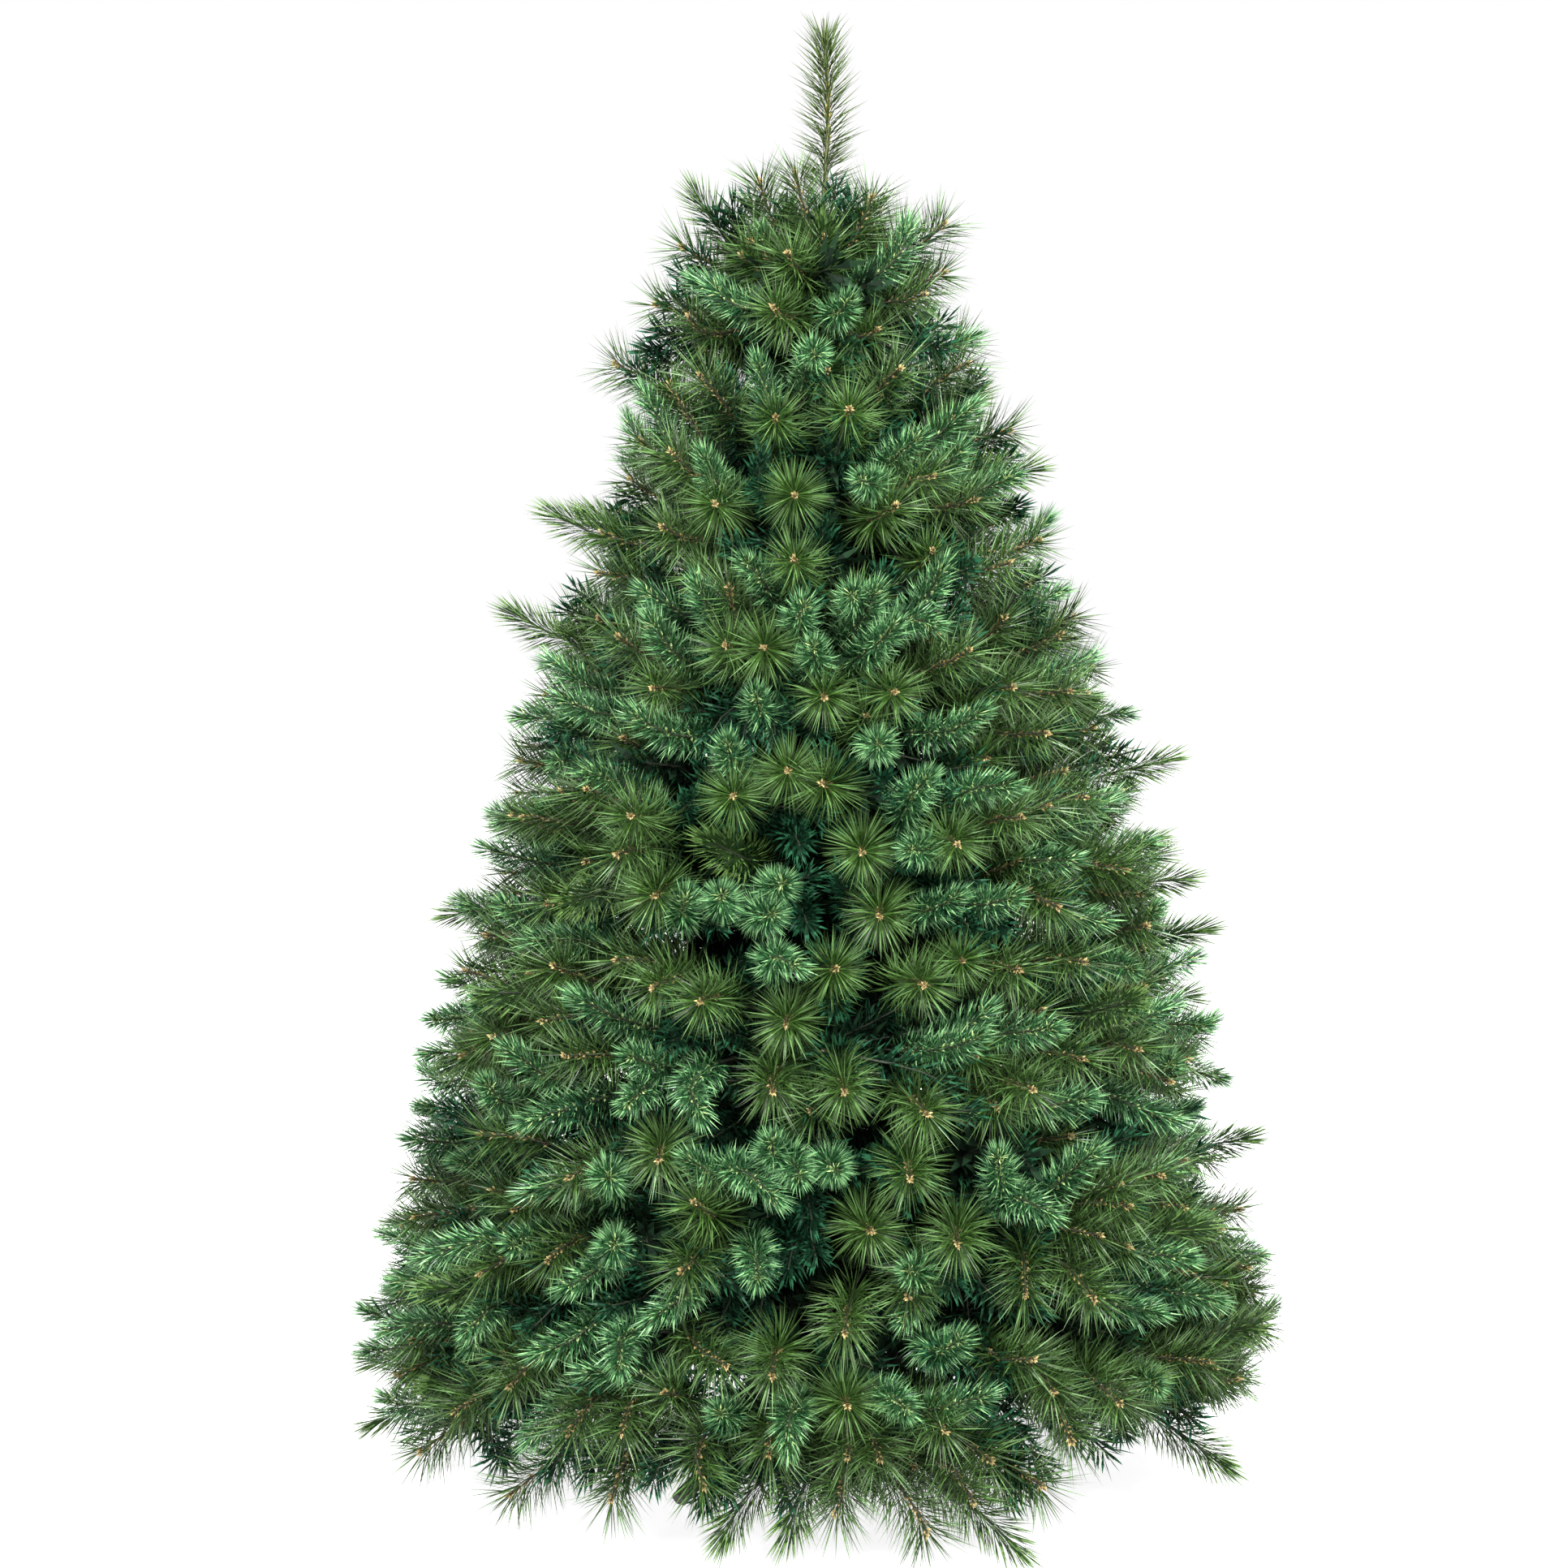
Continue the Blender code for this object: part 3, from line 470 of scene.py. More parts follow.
PLACED_SHADED = (
    (-495, 62, -50, -30), (207, 86, 20, -60), (-133, 87, 0, -60), (-127, 97, 0, -60),
    (-111, 98, 0, -50), (215, 98, 20, -50), (-374, 99, -40, -40), (-42, 99, 0, -50),
    (227, 99, 30, -55), (-268, 106, -30, -50), (-306, 107, -30, -50), (-109, 108, 0, -50),
    (-190, 110, -10, -40), (248, 117, 30, -40), (322, 119, 40, -30), (212, 122, 20, -40),
    (496, 124, 60, -10), (436, 125, 40, -20), (285, 140, 30, -40), (222, 157, 20, -40),
    (-261, 218, -30, -30), (192, 226, 20, -40), (-106, 232, -20, -40), (-505, 270, -80, 0),
    (-39, 348, -20, -30), (-9, 362, 0, -30), (-478, 398, -70, 0), (-13, 401, 0, -50),
    (78, 453, 20, -20), (-447, 468, -70, 0), (-412, 632, -60, -10), (433, 669, 60, 0),
    (405, 681, 60, -10), (408, 705, 60, -10), (203, 716, 40, -10), (-192, 717, -40, -10),
    (166, 717, 20, -10), (-18, 725, 10, -20), (-54, 730, -20, -40), (145, 745, 30, -10),
    (-371, 783, -60, 0), (94, 795, 20, -10), (-26, 811, 10, -30), (-101, 842, -20, -20),
    (81, 870, 20, -30), (371, 894, 60, 10), (-335, 913, -50, 0), (-92, 924, 0, -75),
    (-317, 927, -60, 0), (-129, 933, -30, -70), (-54, 934, 20, -70), (330, 948, 60, 10),
    (-306, 1069, -40, 0), (-297, 1092, -60, 20), (273, 1112, 60, 20), (171, 1124, 40, 20),
    (233, 1188, 40, 10), (-247, 1190, -50, 10), (236, 1193, 50, 10), (239, 1197, 40, 0),
    (-235, 1210, -40, 10), (229, 1257, 40, 10), (214, 1279, 40, 20), (189, 1351, 40, 40),
    (-224, 1363, -40, 20), (-197, 1375, -30, 20), (-205, 1387, -40, 20), (-211, 1390, -40, 20),
    (144, 1391, 30, 30), (-197, 1410, -40, 20), (-185, 1411, -50, 30), (150, 1421, 30, 40),
    (-180, 1449, -40, 40), (-163, 1465, -30, 40), (-168, 1481, -40, 30), (-147, 1498, -20, 50),
    (115, 1519, 30, 40), (-103, 1544, -20, 70), (-127, 1547, -20, 60), (-3, 1551, 0, 70),
    (28, 1551, 10, 70), (-42, 1552, 0, 75), (-107, 1563, -20, 60), (-83, 1563, -15, 60),
    (39, 1564, 10, 60), (-85, 1567, -20, 60), (18, 1577, 15, 60),
)
growth, placing = random.Random(1801), random.Random(7)
twig_paths, stem_paths = [], []


def spray_elevation(height):
    """How steeply the sprays rise at a height: drooping at the skirt, and steep at the top."""
    share = (height - CROWN_FOOT) / (CROWN_TOP - CROWN_FOOT)
    return math.radians(SPRAY_DROOP + SPRAY_LIFT * share + SPRAY_TOP_LIFT * share**3)


def curved_path(root, leaving, tip, arriving, count):
    """A smooth path that leaves the root in one direction and arrives at the tip in another."""
    reach = (tip - root).length * CURVE_PULL
    first, second = root + leaving * reach, tip - arriving * reach
    path = []
    for k in range(count):
        t = k / (count - 1)
        s = 1 - t
        path.append(root * s**3 + first * (3 * s * s * t) + second * (3 * s * t * t) + tip * t**3)
    return path


def outer_end(path, length, count=8, short=0.0):
    """The last stretch of a path, in evenly spaced points. It may end short of the path's tip."""
    points = np.array(path)
    steps = np.linalg.norm(np.diff(points, axis=0), axis=1)
    travelled = np.concatenate([[0.0], np.cumsum(steps)])
    finish = travelled[-1] - short
    marks = np.linspace(max(0.0, travelled[-1] - length), finish, count)
    places = [np.interp(marks, travelled, points[:, axis]) for axis in range(3)]
    return [Vector(place) for place in zip(*places)]


def grow_twig(mass, tip, arriving, count=8):
    """A twig that forks from the mass's stem at about the fork angle and curves out to its tip."""
    aim = tip - arriving * STRAIGHT_RUN - mass.start
    forward = aim.dot(mass.heading)
    aside = (aim - mass.heading * forward).length
    share = (forward - aside / math.tan(FORK_ANGLE)) / mass.stem_length
    root = mass.start + mass.heading * (mass.stem_length * min(max(share, FORK_FROM), FORK_TO))
    aside = (tip - root).normalized() * LEAVING_ASIDE
    leaving = (aside + mass.heading * (1 - LEAVING_ASIDE)).normalized()
    path = curved_path(root, leaving, tip, arriving, count)
    twig_paths.append(path)
    return path


# The lowest placed tips are longer and fuller, as the skirt's brushes are.
SKIRT_MILLIMETRES = 165
SKIRT_LONGER, SKIRT_FULLER = 1.35, 1.12
placed = []
for tips, rows, setback, dressed in (
    (pine_tips, PLACED_PINE, 0.034, 0.116),
    (film_tips, PLACED_FILM, 0.024, 0.132),
    (olive_tips, PLACED_OLIVE, 0.040, 0.200),
    (shaded_tips, PLACED_SHADED, 0.070, 0.150),
):
    for across, up, right, rise in rows:
        reach = crown_radius(up / 1000) - setback - placing.uniform(-0.008, 0.014)
        tip = Vector((across / 1000, 0, up / 1000))
        tip.y = -math.sqrt(max(0, reach**2 - tip.x**2))
        arriving = Vector((right / 100, 0, rise / 100))
        arriving.y = -math.sqrt(max(0, 1 - arriving.length_squared))
        level = max(0, min(len(TIERS) - 1, int((tip.z - CROWN_FOOT) / TIER_BAND)))
        tier = [mass for mass in masses if mass.level == level]
        mass = max(tier, key=lambda held: along(held.azimuth, 1, 0).dot(tip))
        path = grow_twig(mass, tip, arriving.normalized())
        longer, fuller = (SKIRT_LONGER, SKIRT_FULLER) if up < SKIRT_MILLIMETRES else (1.0, 1.0)
        tips.append(Tip(outer_end(path, dressed * longer), fuller * placing.uniform(0.97, 1.06)))
        if tips is not shaded_tips:
            placed.append(tip)


def is_free(place):
    """Whether a place keeps its distance from all the placed tips."""
    return all((place - other).length > OWN_SPACE for other in placed)


for mass in masses:
    extra = CROWN_TOP_TIPS if mass.level == len(TIERS) - 1 else 0
    low = CROWN_FOOT + TIER_BAND * mass.level
    stem_paths.append([mass.start + mass.heading * (mass.stem_length * k / 8) for k in range(9)])
    patch = 2 * mass.half_width * crown_radius(low + TIER_BAND / 2) * TIER_BAND * FACE_SLANT
    for layer in LAYERS:
        shaded = layer.tips is shaded_tips
        count = round(patch * layer.per_square_metre) + extra
        offset = growth.random()
        for k in range(count):
            across = (offset + k * ACROSS_STEP) % 1
            up = (offset + k * UP_STEP) % 1
            stray = growth.gauss(0, STRAY_AZIMUTH)
            azimuth = mass.azimuth + mass.half_width * (2 * across - 1) + stray
            height = low + TIER_BAND * up + growth.uniform(-STRAY_HEIGHT, STRAY_HEIGHT)
            edge = SKIRT_EDGE + SKIRT_LIFT * max(0.0, math.cos(azimuth))
            if shaded:
                edge -= SHADED_SKIRT_DROP
            if mass.level == 0 and height < edge:
                height = edge + growth.random() * (low + TIER_BAND - edge)
            nearest, furthest = layer.setback
            setback = nearest + (furthest - nearest) * growth.random() ** SETBACK_BIAS
            side = growth.choice((-1, 1))
            swing = azimuth + side * math.radians(growth.uniform(*layer.swing))
            rise = math.radians(growth.uniform(*layer.rise)) + spray_elevation(height)
            reach = crown_radius(height) - setback
            if k >= count - extra:
                reach *= growth.uniform(*TOP_REACH)
                height = CROWN_TOP - growth.uniform(*TOP_DROP)
                rise = math.radians(growth.uniform(*TOP_RISE))
            arriving = along(swing, math.cos(rise), math.sin(rise))
            tip = along(azimuth, reach, height) - arriving * layer.overhang
            dressed = layer.dressed * growth.uniform(0.8, 1.12)
            if height < SHADED_TOP if shaded else is_free(tip):
                path = grow_twig(mass, tip, arriving, 6 if shaded else 8)
                layer.tips.append(Tip(outer_end(path, dressed), growth.uniform(0.90, 1.08)))
    for k in range(SKIRT_TIPS if mass.level == 0 else 0):
        azimuth = mass.azimuth + mass.half_width * (2 * (k + growth.random()) / SKIRT_TIPS - 1)
        lift = SKIRT_LIFT * max(0.0, math.cos(azimuth))
        row = k % len(SKIRT_ROWS)
        height = CROWN_FOOT + lift + SKIRT_ROWS[row] + SKIRT_ROW_DEPTH * growth.random()
        rise = math.radians(growth.uniform(*SKIRT_RISE))
        swing = azimuth + math.radians(growth.uniform(-SKIRT_SWING, SKIRT_SWING))
        arriving = along(swing, math.cos(rise), math.sin(rise))
        reach = crown_radius(height) - SKIRT_SETBACK - SKIRT_SCATTER * growth.random()
        tip = along(azimuth, reach, height)
        shown = math.sin(azimuth) < FRONT_SINE
        if is_free(tip) and not (shown and row == 0):
            dressed, size = growth.uniform(*SKIRT_DRESSED), growth.uniform(0.95, 1.08)
            if not (shown and row == 1):
                path = grow_twig(mass, tip, arriving)
                pine_tips.append(Tip(outer_end(path, dressed), size))
    seam = mass.azimuth + mass.half_width
    for height in SEAM_TIPS if mass.level == 0 and math.sin(seam) > FRONT_SINE else ():
        azimuth = seam + placing.uniform(-0.03, 0.03)
        swing = azimuth + placing.uniform(-0.3, 0.3)
        arriving = along(swing, math.cos(SEAM_DROOP), -math.sin(SEAM_DROOP))
        tip = along(azimuth, crown_radius(height) - SEAM_SETBACK, height)
        path = grow_twig(mass, tip, arriving)
        pine_tips.append(Tip(outer_end(path, SEAM_DRESSED), SEAM_SIZE))
    near_pole = round(INNER_ALONG_POLE * mass.half_width / math.pi)
    for k in range(round(INNER_PER_SQUARE_METRE * patch) + near_pole):
        azimuth = mass.azimuth + mass.half_width * growth.uniform(-1, 1)
        height = low + TIER_BAND * growth.random()
        reach = (crown_radius(height) - INNER_SETBACK) * growth.random() ** INNER_BIAS
        reach = max(INNER_NEAREST, reach)
        if k < near_pole:
            reach = growth.uniform(*POLE_BAND)
        height += math.tan(tier_slope(mass.level)) * (reach - crown_radius(height))
        height = min(max(height, INNER_LOWEST), INNER_HIGHEST)
        rise = math.radians(growth.uniform(*INNER_RISE))
        swing = azimuth + math.radians(growth.uniform(-INNER_SWING, INNER_SWING))
        arriving = along(swing, math.cos(rise), math.sin(rise))
        path = grow_twig(mass, along(azimuth, reach, height), arriving, 5)
        inner_tips.append(Tip(outer_end(path, INNER_DRESSED), growth.uniform(0.9, 1.2)))
    inner_tips.append(Tip(stem_paths[-1], 1.0))


def path_object(name, paths, sizes):
    """Paths as chains of edges, with a size kept on every point."""
    places, links, held = [], [], []
    for path, size in zip(paths, sizes):
        first = len(places)
        places += [tuple(p) for p in path]
        links += [(first + i, first + i + 1) for i in range(len(path) - 1)]
        held += [size] * len(path)
    mesh = bpy.data.meshes.new(name)
    mesh.from_pydata(places, links, [])
    sized = mesh.attributes.new("tip_size", "FLOAT", "POINT")
    sized.data.foreach_set("value", held)
    return linked_object(name, mesh)


def new_tree(name, inputs, output):
    """A Geometry Nodes tree with named inputs, each given by its default or else by its kind."""
    made = bpy.data.node_groups.new(name, "GeometryNodeTree")
    made.is_modifier = True
    for key, given in inputs.items():
        kind = {float: "Float", int: "Int"}.get(type(given), given)
        socket = made.interface.new_socket(key, in_out="INPUT", socket_type="NodeSocket" + kind)
        if kind != given:
            socket.default_value = given
    made.interface.new_socket(output, in_out="OUTPUT", socket_type="NodeSocketGeometry")
    return made, add_node(made, "NodeGroupInput").outputs


def grown(guide, tree, values):
    """Runs a tree on a guide object with those named inputs, and leaves a plain mesh in it."""
    modifier = guide.modifiers.new("grow", "NODES")
    modifier.node_group = tree
    for item in tree.interface.items_tree:
        if item.in_out == "INPUT" and item.name in values:
            modifier[item.identifier] = values[item.name]
    evaluated = guide.evaluated_get(bpy.context.evaluated_depsgraph_get())
    mesh = bpy.data.meshes.new_from_object(evaluated)
    mesh.name = guide.name
    guide.modifiers.clear()
    guide.data = mesh


# Twigs: a tapering tube of few sides along every path.
WIRE_INPUTS = {
    "Paths": "Geometry", "Root radius": 0.0022, "Tip radius": 0.0012, "Sides": 5,
    "Finish": "Material",
}
tree, given = new_tree("wire_along_paths", WIRE_INPUTS, "Wire")
wire_tree = tree
curves = add_node(tree, "GeometryNodeMeshToCurve", {"Mesh": given["Paths"]})
progress = add_node(tree, "GeometryNodeSplineParameter")
thickness = add_node(
    tree,
    "ShaderNodeMapRange",
    {"Value": progress, "To Min": given["Root radius"], "To Max": given["Tip radius"]},
)
ring = add_node(
    tree, "GeometryNodeCurvePrimitiveCircle", {"Resolution": given["Sides"], "Radius": 1.0}
)
tube = add_node(
    tree,
    "GeometryNodeCurveToMesh",
    {"Curve": curves, "Profile Curve": ring, "Fill Caps": True, "Scale": thickness},
)
real = add_node(tree, "GeometryNodeRealizeInstances", {"Geometry": tube})
finished = add_node(
    tree, "GeometryNodeSetMaterial", {"Geometry": real, "Material": given["Finish"]}
)
add_node(tree, "NodeGroupOutput", {"Wire": finished})

# Twisted wire with the film's uncut middle showing between the needles: a dull, dark olive green.
olive_wire, tree, shader, place = new_material("olive_film_core_on_wire", "#1A2110", 0.8)
fibres = add_node(tree, "ShaderNodeTexNoise", {"Vector": place, "Scale": 600.0, "Detail": 3.0})
bump = add_node(tree, "ShaderNodeBump", {"Height": fibres, "Strength": 0.6, "Distance": 0.0004})
gloss = add_node(tree, "ShaderNodeMapRange", {"Value": fibres, "To Min": 0.55, "To Max": 0.8})
set_inputs(tree, shader, {"Normal": bump, "Roughness": gloss})

foliage_nodes = [mass.node for mass in masses]


def wires(name, paths, root_radius, tip_radius, sides, finish, replaced=foliage_nodes):
    """Grows some paths' wire as one joined piece."""
    piece = path_object(name, paths, [1.0] * len(paths))
    sizes = {"Root radius": root_radius, "Tip radius": tip_radius, "Sides": sides}
    grown(piece, wire_tree, {**sizes, "Finish": finish})
    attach(piece, "root")
    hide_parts(*replaced)


wires("foliage_twigs", twig_paths, 0.0023, 0.0014, 3, olive_wire)
wires("foliage_stems", stem_paths, 0.0036, 0.0024, 8, brown_film)

# NEEDLES
# Every needle is a narrow blade of two faces, set round its wire by the golden angle and leant
# forward. Its inner part is darker, as painted shade near the wire, and its outer part paler, as
# painted highlight on the needle's end.
GOLDEN_ANGLE = 2.399963
ROLL_RANGE, SWEEP_RANGE, TWIST_RANGE, LENGTH_RANGE = (-0.35, 0.35), (-1, 1), (-1.1, 1.1), (-1, 0.6)
NEEDLE_INPUTS = {
    "Paths": "Geometry", "Spacing": 0.0007, "Length": 0.05, "Width": 0.0018, "Widest at": 0.5,
    "Bend": 0.004, "Sweep at root": 1.05, "Sweep at tip": 0.61, "Closing": 3.0,
    "Sweep scatter": 0.14, "Length scatter": 0.12, "Seed": 1, "Inner finish": "Material",
    "Outer finish": "Material",
}
tree, given = new_tree("needles_round_paths", NEEDLE_INPUTS, "Needles")
needle_tree = tree

# The blank: two faces end to end, bowed towards the tip, that meet where the needle is widest. Each
# end has no width, so its two corners are merged and a needle has two triangles.
blank = add_node(
    tree, "GeometryNodeMeshGrid", {"Size X": 1.0, "Size Y": 1.0, "Vertices X": 2, "Vertices Y": 3}
)
position = add_node(tree, "GeometryNodeInputPosition")
corner = add_node(tree, "ShaderNodeSeparateXYZ", {"Vector": position}).outputs
share = add_node(tree, "ShaderNodeMath", {0: corner["Y"], 1: 0.5}, operation="ADD")
widening = add_node(tree, "ShaderNodeMapRange", {"Value": share, "From Max": 0.5})
narrowing = add_node(
    tree, "ShaderNodeMapRange", {"Value": share, "From Min": 0.5, "To Min": 1.0, "To Max": 0.0}
)
wide = corner["X"]
for factor in (given["Width"], widening, narrowing):
    wide = add_node(tree, "ShaderNodeMath", {0: wide, 1: factor}, operation="MULTIPLY")
fullness = add_node(tree, "ShaderNodeMath", {0: given["Widest at"], 1: 0.5}, operation="LOGARITHM")
share = add_node(tree, "ShaderNodeMath", {0: share, 1: fullness}, operation="POWER")
bowed = add_node(tree, "ShaderNodeMath", {0: share, 1: 2.0}, operation="POWER")
bowed = add_node(tree, "ShaderNodeMath", {0: bowed, 1: given["Bend"]}, operation="MULTIPLY")
long = add_node(tree, "ShaderNodeMath", {0: share, 1: given["Length"]}, operation="MULTIPLY")
shape = add_node(tree, "ShaderNodeCombineXYZ", {"X": wide, "Y": bowed, "Z": long})
# The outer face is marked for the paler film, a painted highlight; the inner face keeps the darker
# film, a painted shade.
is_outer = add_node(tree, "ShaderNodeMath", {0: corner["Y"], 1: 0.0}, operation="GREATER_THAN")
marked = add_node(
    tree,
    "GeometryNodeStoreNamedAttribute",
    {"Geometry": blank, "Name": "outer_part", "Value": is_outer},
    data_type="FLOAT",
    domain="FACE",
)
shaped = add_node(tree, "GeometryNodeSetPosition", {"Geometry": marked, "Position": shape})
pointed = add_node(tree, "GeometryNodeMergeByDistance", {"Geometry": shaped, "Distance": 0.00002})

# The places along each wire, and how each needle is rolled, leant and twisted there.
curves = add_node(tree, "GeometryNodeMeshToCurve", {"Mesh": given["Paths"]})
places = add_node(
    tree, "GeometryNodeResampleCurve", {"Curve": curves, "Length": given["Spacing"]}, mode="LENGTH"
)
number = add_node(tree, "GeometryNodeInputIndex")
drawn = []
for shift, (low, high) in enumerate((ROLL_RANGE, SWEEP_RANGE, TWIST_RANGE, LENGTH_RANGE)):
    seed = add_node(tree, "ShaderNodeMath", {0: given["Seed"], 1: shift}, operation="ADD")
    chance = add_node(
        tree, "FunctionNodeRandomValue", {2: low, 3: high, "ID": number, "Seed": seed}
    )
    drawn.append(chance.outputs[1])
roll_chance, sweep_chance, twist_chance, length_chance = drawn

tangent = add_node(tree, "GeometryNodeInputTangent")
facing = add_node(tree, "FunctionNodeAlignRotationToVector", {"Vector": tangent}, axis="Z")
golden = add_node(tree, "ShaderNodeMath", {0: number, 1: GOLDEN_ANGLE}, operation="MULTIPLY")
roll = add_node(tree, "ShaderNodeMath", {0: golden, 1: roll_chance}, operation="ADD")
progress = add_node(tree, "GeometryNodeSplineParameter")
late = add_node(tree, "ShaderNodeMath", {0: progress, 1: given["Closing"]}, operation="POWER")
sweep = add_node(
    tree,
    "ShaderNodeMapRange",
    {"Value": late, "To Min": given["Sweep at root"], "To Max": given["Sweep at tip"]},
)
spread = {0: sweep_chance, 1: given["Sweep scatter"]}
spread = add_node(tree, "ShaderNodeMath", spread, operation="MULTIPLY")
lean = add_node(tree, "ShaderNodeMath", {0: sweep, 1: spread}, operation="ADD")
turned = facing
for axis, angle in (((0, 0, 1), roll), ((1, 0, 0), lean), ((0, 0, 1), twist_chance)):
    turn = add_node(tree, "FunctionNodeAxisAngleToRotation", {"Axis": axis, "Angle": angle})
    turned = add_node(
        tree,
        "FunctionNodeRotateRotation",
        {"Rotation": turned, "Rotate By": turn},
        rotation_space="LOCAL",
    )
sized = add_node(tree, "GeometryNodeInputNamedAttribute", {"Name": "tip_size"}, data_type="FLOAT")
varied = {0: length_chance, 1: given["Length scatter"]}
varied = add_node(tree, "ShaderNodeMath", varied, operation="MULTIPLY")
varied = add_node(tree, "ShaderNodeMath", {0: varied, 1: 1.0}, operation="ADD")
varied = add_node(tree, "ShaderNodeMath", {0: varied, 1: sized}, operation="MULTIPLY")
stretch = add_node(tree, "ShaderNodeCombineXYZ", {"X": 1.0, "Y": 1.0, "Z": varied})
set_out = add_node(
    tree,
    "GeometryNodeInstanceOnPoints",
    {"Points": places, "Instance": pointed, "Rotation": turned, "Scale": stretch},
)
real = add_node(tree, "GeometryNodeRealizeInstances", {"Geometry": set_out})
inner = add_node(
    tree, "GeometryNodeSetMaterial", {"Geometry": real, "Material": given["Inner finish"]}
)
outer_face = add_node(
    tree, "GeometryNodeInputNamedAttribute", {"Name": "outer_part"}, data_type="FLOAT"
)
chosen = add_node(tree, "ShaderNodeMath", {0: outer_face, 1: 0.5}, operation="GREATER_THAN")
outer = add_node(
    tree,
    "GeometryNodeSetMaterial",
    {"Geometry": inner, "Selection": chosen, "Material": given["Outer finish"]},
)
add_node(tree, "NodeGroupOutput", {"Needles": outer})

FLOOR_GAP = 0.002
BOX_GAP = 0.0005


def needles(name, tips, finishes, sweep, replaced=foliage_nodes, **sizes):
    """Grows some tips' needles as one joined piece, kept off the floor and in the frame's box.

    The sweep is in degrees: at the wire's root, at its tip, and its scatter.
    """
    piece = path_object(name, [tip.path for tip in tips], [tip.size for tip in tips])
    values = {key.replace("_", " ").capitalize(): value for key, value in sizes.items()}
    values.update(zip(("Inner finish", "Outer finish"), finishes))
    for key, degrees in zip(("Sweep at root", "Sweep at tip", "Sweep scatter"), sweep):
        values[key] = math.radians(degrees)
    grown(piece, needle_tree, values)
    mesh = piece.data
    for used in ("outer_part", "tip_size"):
        if used in mesh.attributes:
            mesh.attributes.remove(mesh.attributes[used])
    places = np.zeros(len(mesh.vertices) * 3, np.float32)
    mesh.vertices.foreach_get("co", places)
    for axis in range(3):
        low = FLOOR_GAP if axis == 2 else cad_low[axis] + BOX_GAP
        places[axis::3] = np.clip(places[axis::3], low, cad_high[axis] - BOX_GAP)
    mesh.vertices.foreach_set("co", places)
    mesh.update()
    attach(piece, "root")
    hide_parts(*replaced)


def shortened(tips, length, short):
    """The same tips with another length dressed, which ends short of the wire's end."""
    return [Tip(outer_end(tip.path, length, 6, short), tip.size) for tip in tips]


def cut_film(name, hex_colour, roughness, shine):
    """Slit film of one plain colour, softly glossy where it is smooth and duller in its creases."""
    made, tree, shader, place = new_material(name, hex_colour, roughness)
    creases = add_node(tree, "ShaderNodeTexNoise", {"Vector": place, "Scale": 700.0, "Detail": 1.0})
    gloss = add_node(
        tree,
        "ShaderNodeMapRange",
        {"Value": creases, "To Min": roughness - 0.1, "To Max": roughness + 0.1},
    )
    set_inputs(tree, shader, {"Roughness": gloss, "Specular IOR Level": shine})
    return made


def film_pair(name, end, inner, outer):
    """The films of a needle's inner part and, with that ending to its name, of its outer part."""
    return cut_film(name, *inner), cut_film(name + end, *outer)


# PINE TIPS
# Long fine needles of matt film, olive green, darker near the stem as painted shade and greyer at
# their ends as painted highlight, round a stem of tan paper scales that closes in a pale bud. Three
# tints are mixed in every spray, and each is a piece of its own.
PINE_TINTS = (
    ("deep", "#0F1E06", "#1A2A0C", 0.052),
    ("middle", "#1D310E", "#2C431B", 0.056),
    ("soft", "#304A1C", "#466335", 0.058),
)
for index, (tint, inner_hex, outer_hex, length) in enumerate(PINE_TINTS):
    needles(
        f"pine_needles_{tint}",
        shortened(pine_tips, 0.165, 0.006),
        film_pair(
            f"matt_pine_film_{tint}", "_end", (inner_hex, 0.42, 0.10), (outer_hex, 0.42, 0.26)
        ),
        sweep=(64, 45, 10), spacing=0.00103, length=length, width=0.0015, widest_at=0.42,
        bend=0.001, length_scatter=0.11, seed=10 + index,
    )

# Crimped tan paper: dry and dull, lighter at the scales' edges, and palest in the closed bud.
tan_paper = cut_film("crimped_tan_paper", "#55462A", 0.75, 0.2)
tan_edge = cut_film("crimped_tan_paper_edge", "#85744A", 0.75, 0.2)
bud_paper = cut_film("pale_bud_paper", "#9C8C60", 0.75, 0.2)
needles(
    "pine_scales",
    shortened(pine_tips, 0.085, 0.002),
    (tan_paper, tan_edge),
    sweep=(46, 40, 14), spacing=0.0022, length=0.0085, width=0.0030, bend=0.0015,
    length_scatter=0.25, seed=31,
)
needles(
    "pine_buds",
    shortened(pine_tips, 0.006, 0.0),
    (tan_edge, bud_paper),
    sweep=(62, 14, 20), spacing=0.0006, length=0.0065, width=0.0030, bend=0.001,
    length_scatter=0.3, seed=32,
)

# FILM TIPS
# Short flat needles of slit film, a cooler green, darker at the wire as painted shade and paler at
# their ends as painted highlight, set closely on twisted wire.
# The film's uncut middle shows as a yellow-green core, frayed to a small tuft where the wire ends.
FILM_TINTS = (
    ("deep", "#0D2411", "#214028", 0.033),
    ("middle", "#1C3D1F", "#416840", 0.035),
    ("soft", "#315C34", "#6D9663", 0.036),
)
for index, (tint, inner_hex, outer_hex, length) in enumerate(FILM_TINTS):
    needles(
        f"film_needles_{tint}",
        shortened(film_tips, 0.155, 0.003),
        film_pair(f"slit_film_{tint}", "_end", (inner_hex, 0.42, 0.10), (outer_hex, 0.38, 0.32)),
        sweep=(62, 14, 9), spacing=0.00086, length=length, width=0.0015, widest_at=0.56,
        bend=0.001, closing=4.0, length_scatter=0.12, seed=40 + index,
    )
needles(
    "film_cores",
    shortened(film_tips, 0.13, 0.0),
    film_pair("uncut_film_core", "_edge", ("#61783F", 0.55, 0.25), ("#A0B077", 0.55, 0.25)),
    sweep=(58, 20, 16), spacing=0.0028, length=0.0080, width=0.0030, bend=0.0005,
    length_scatter=0.3, seed=51,
)
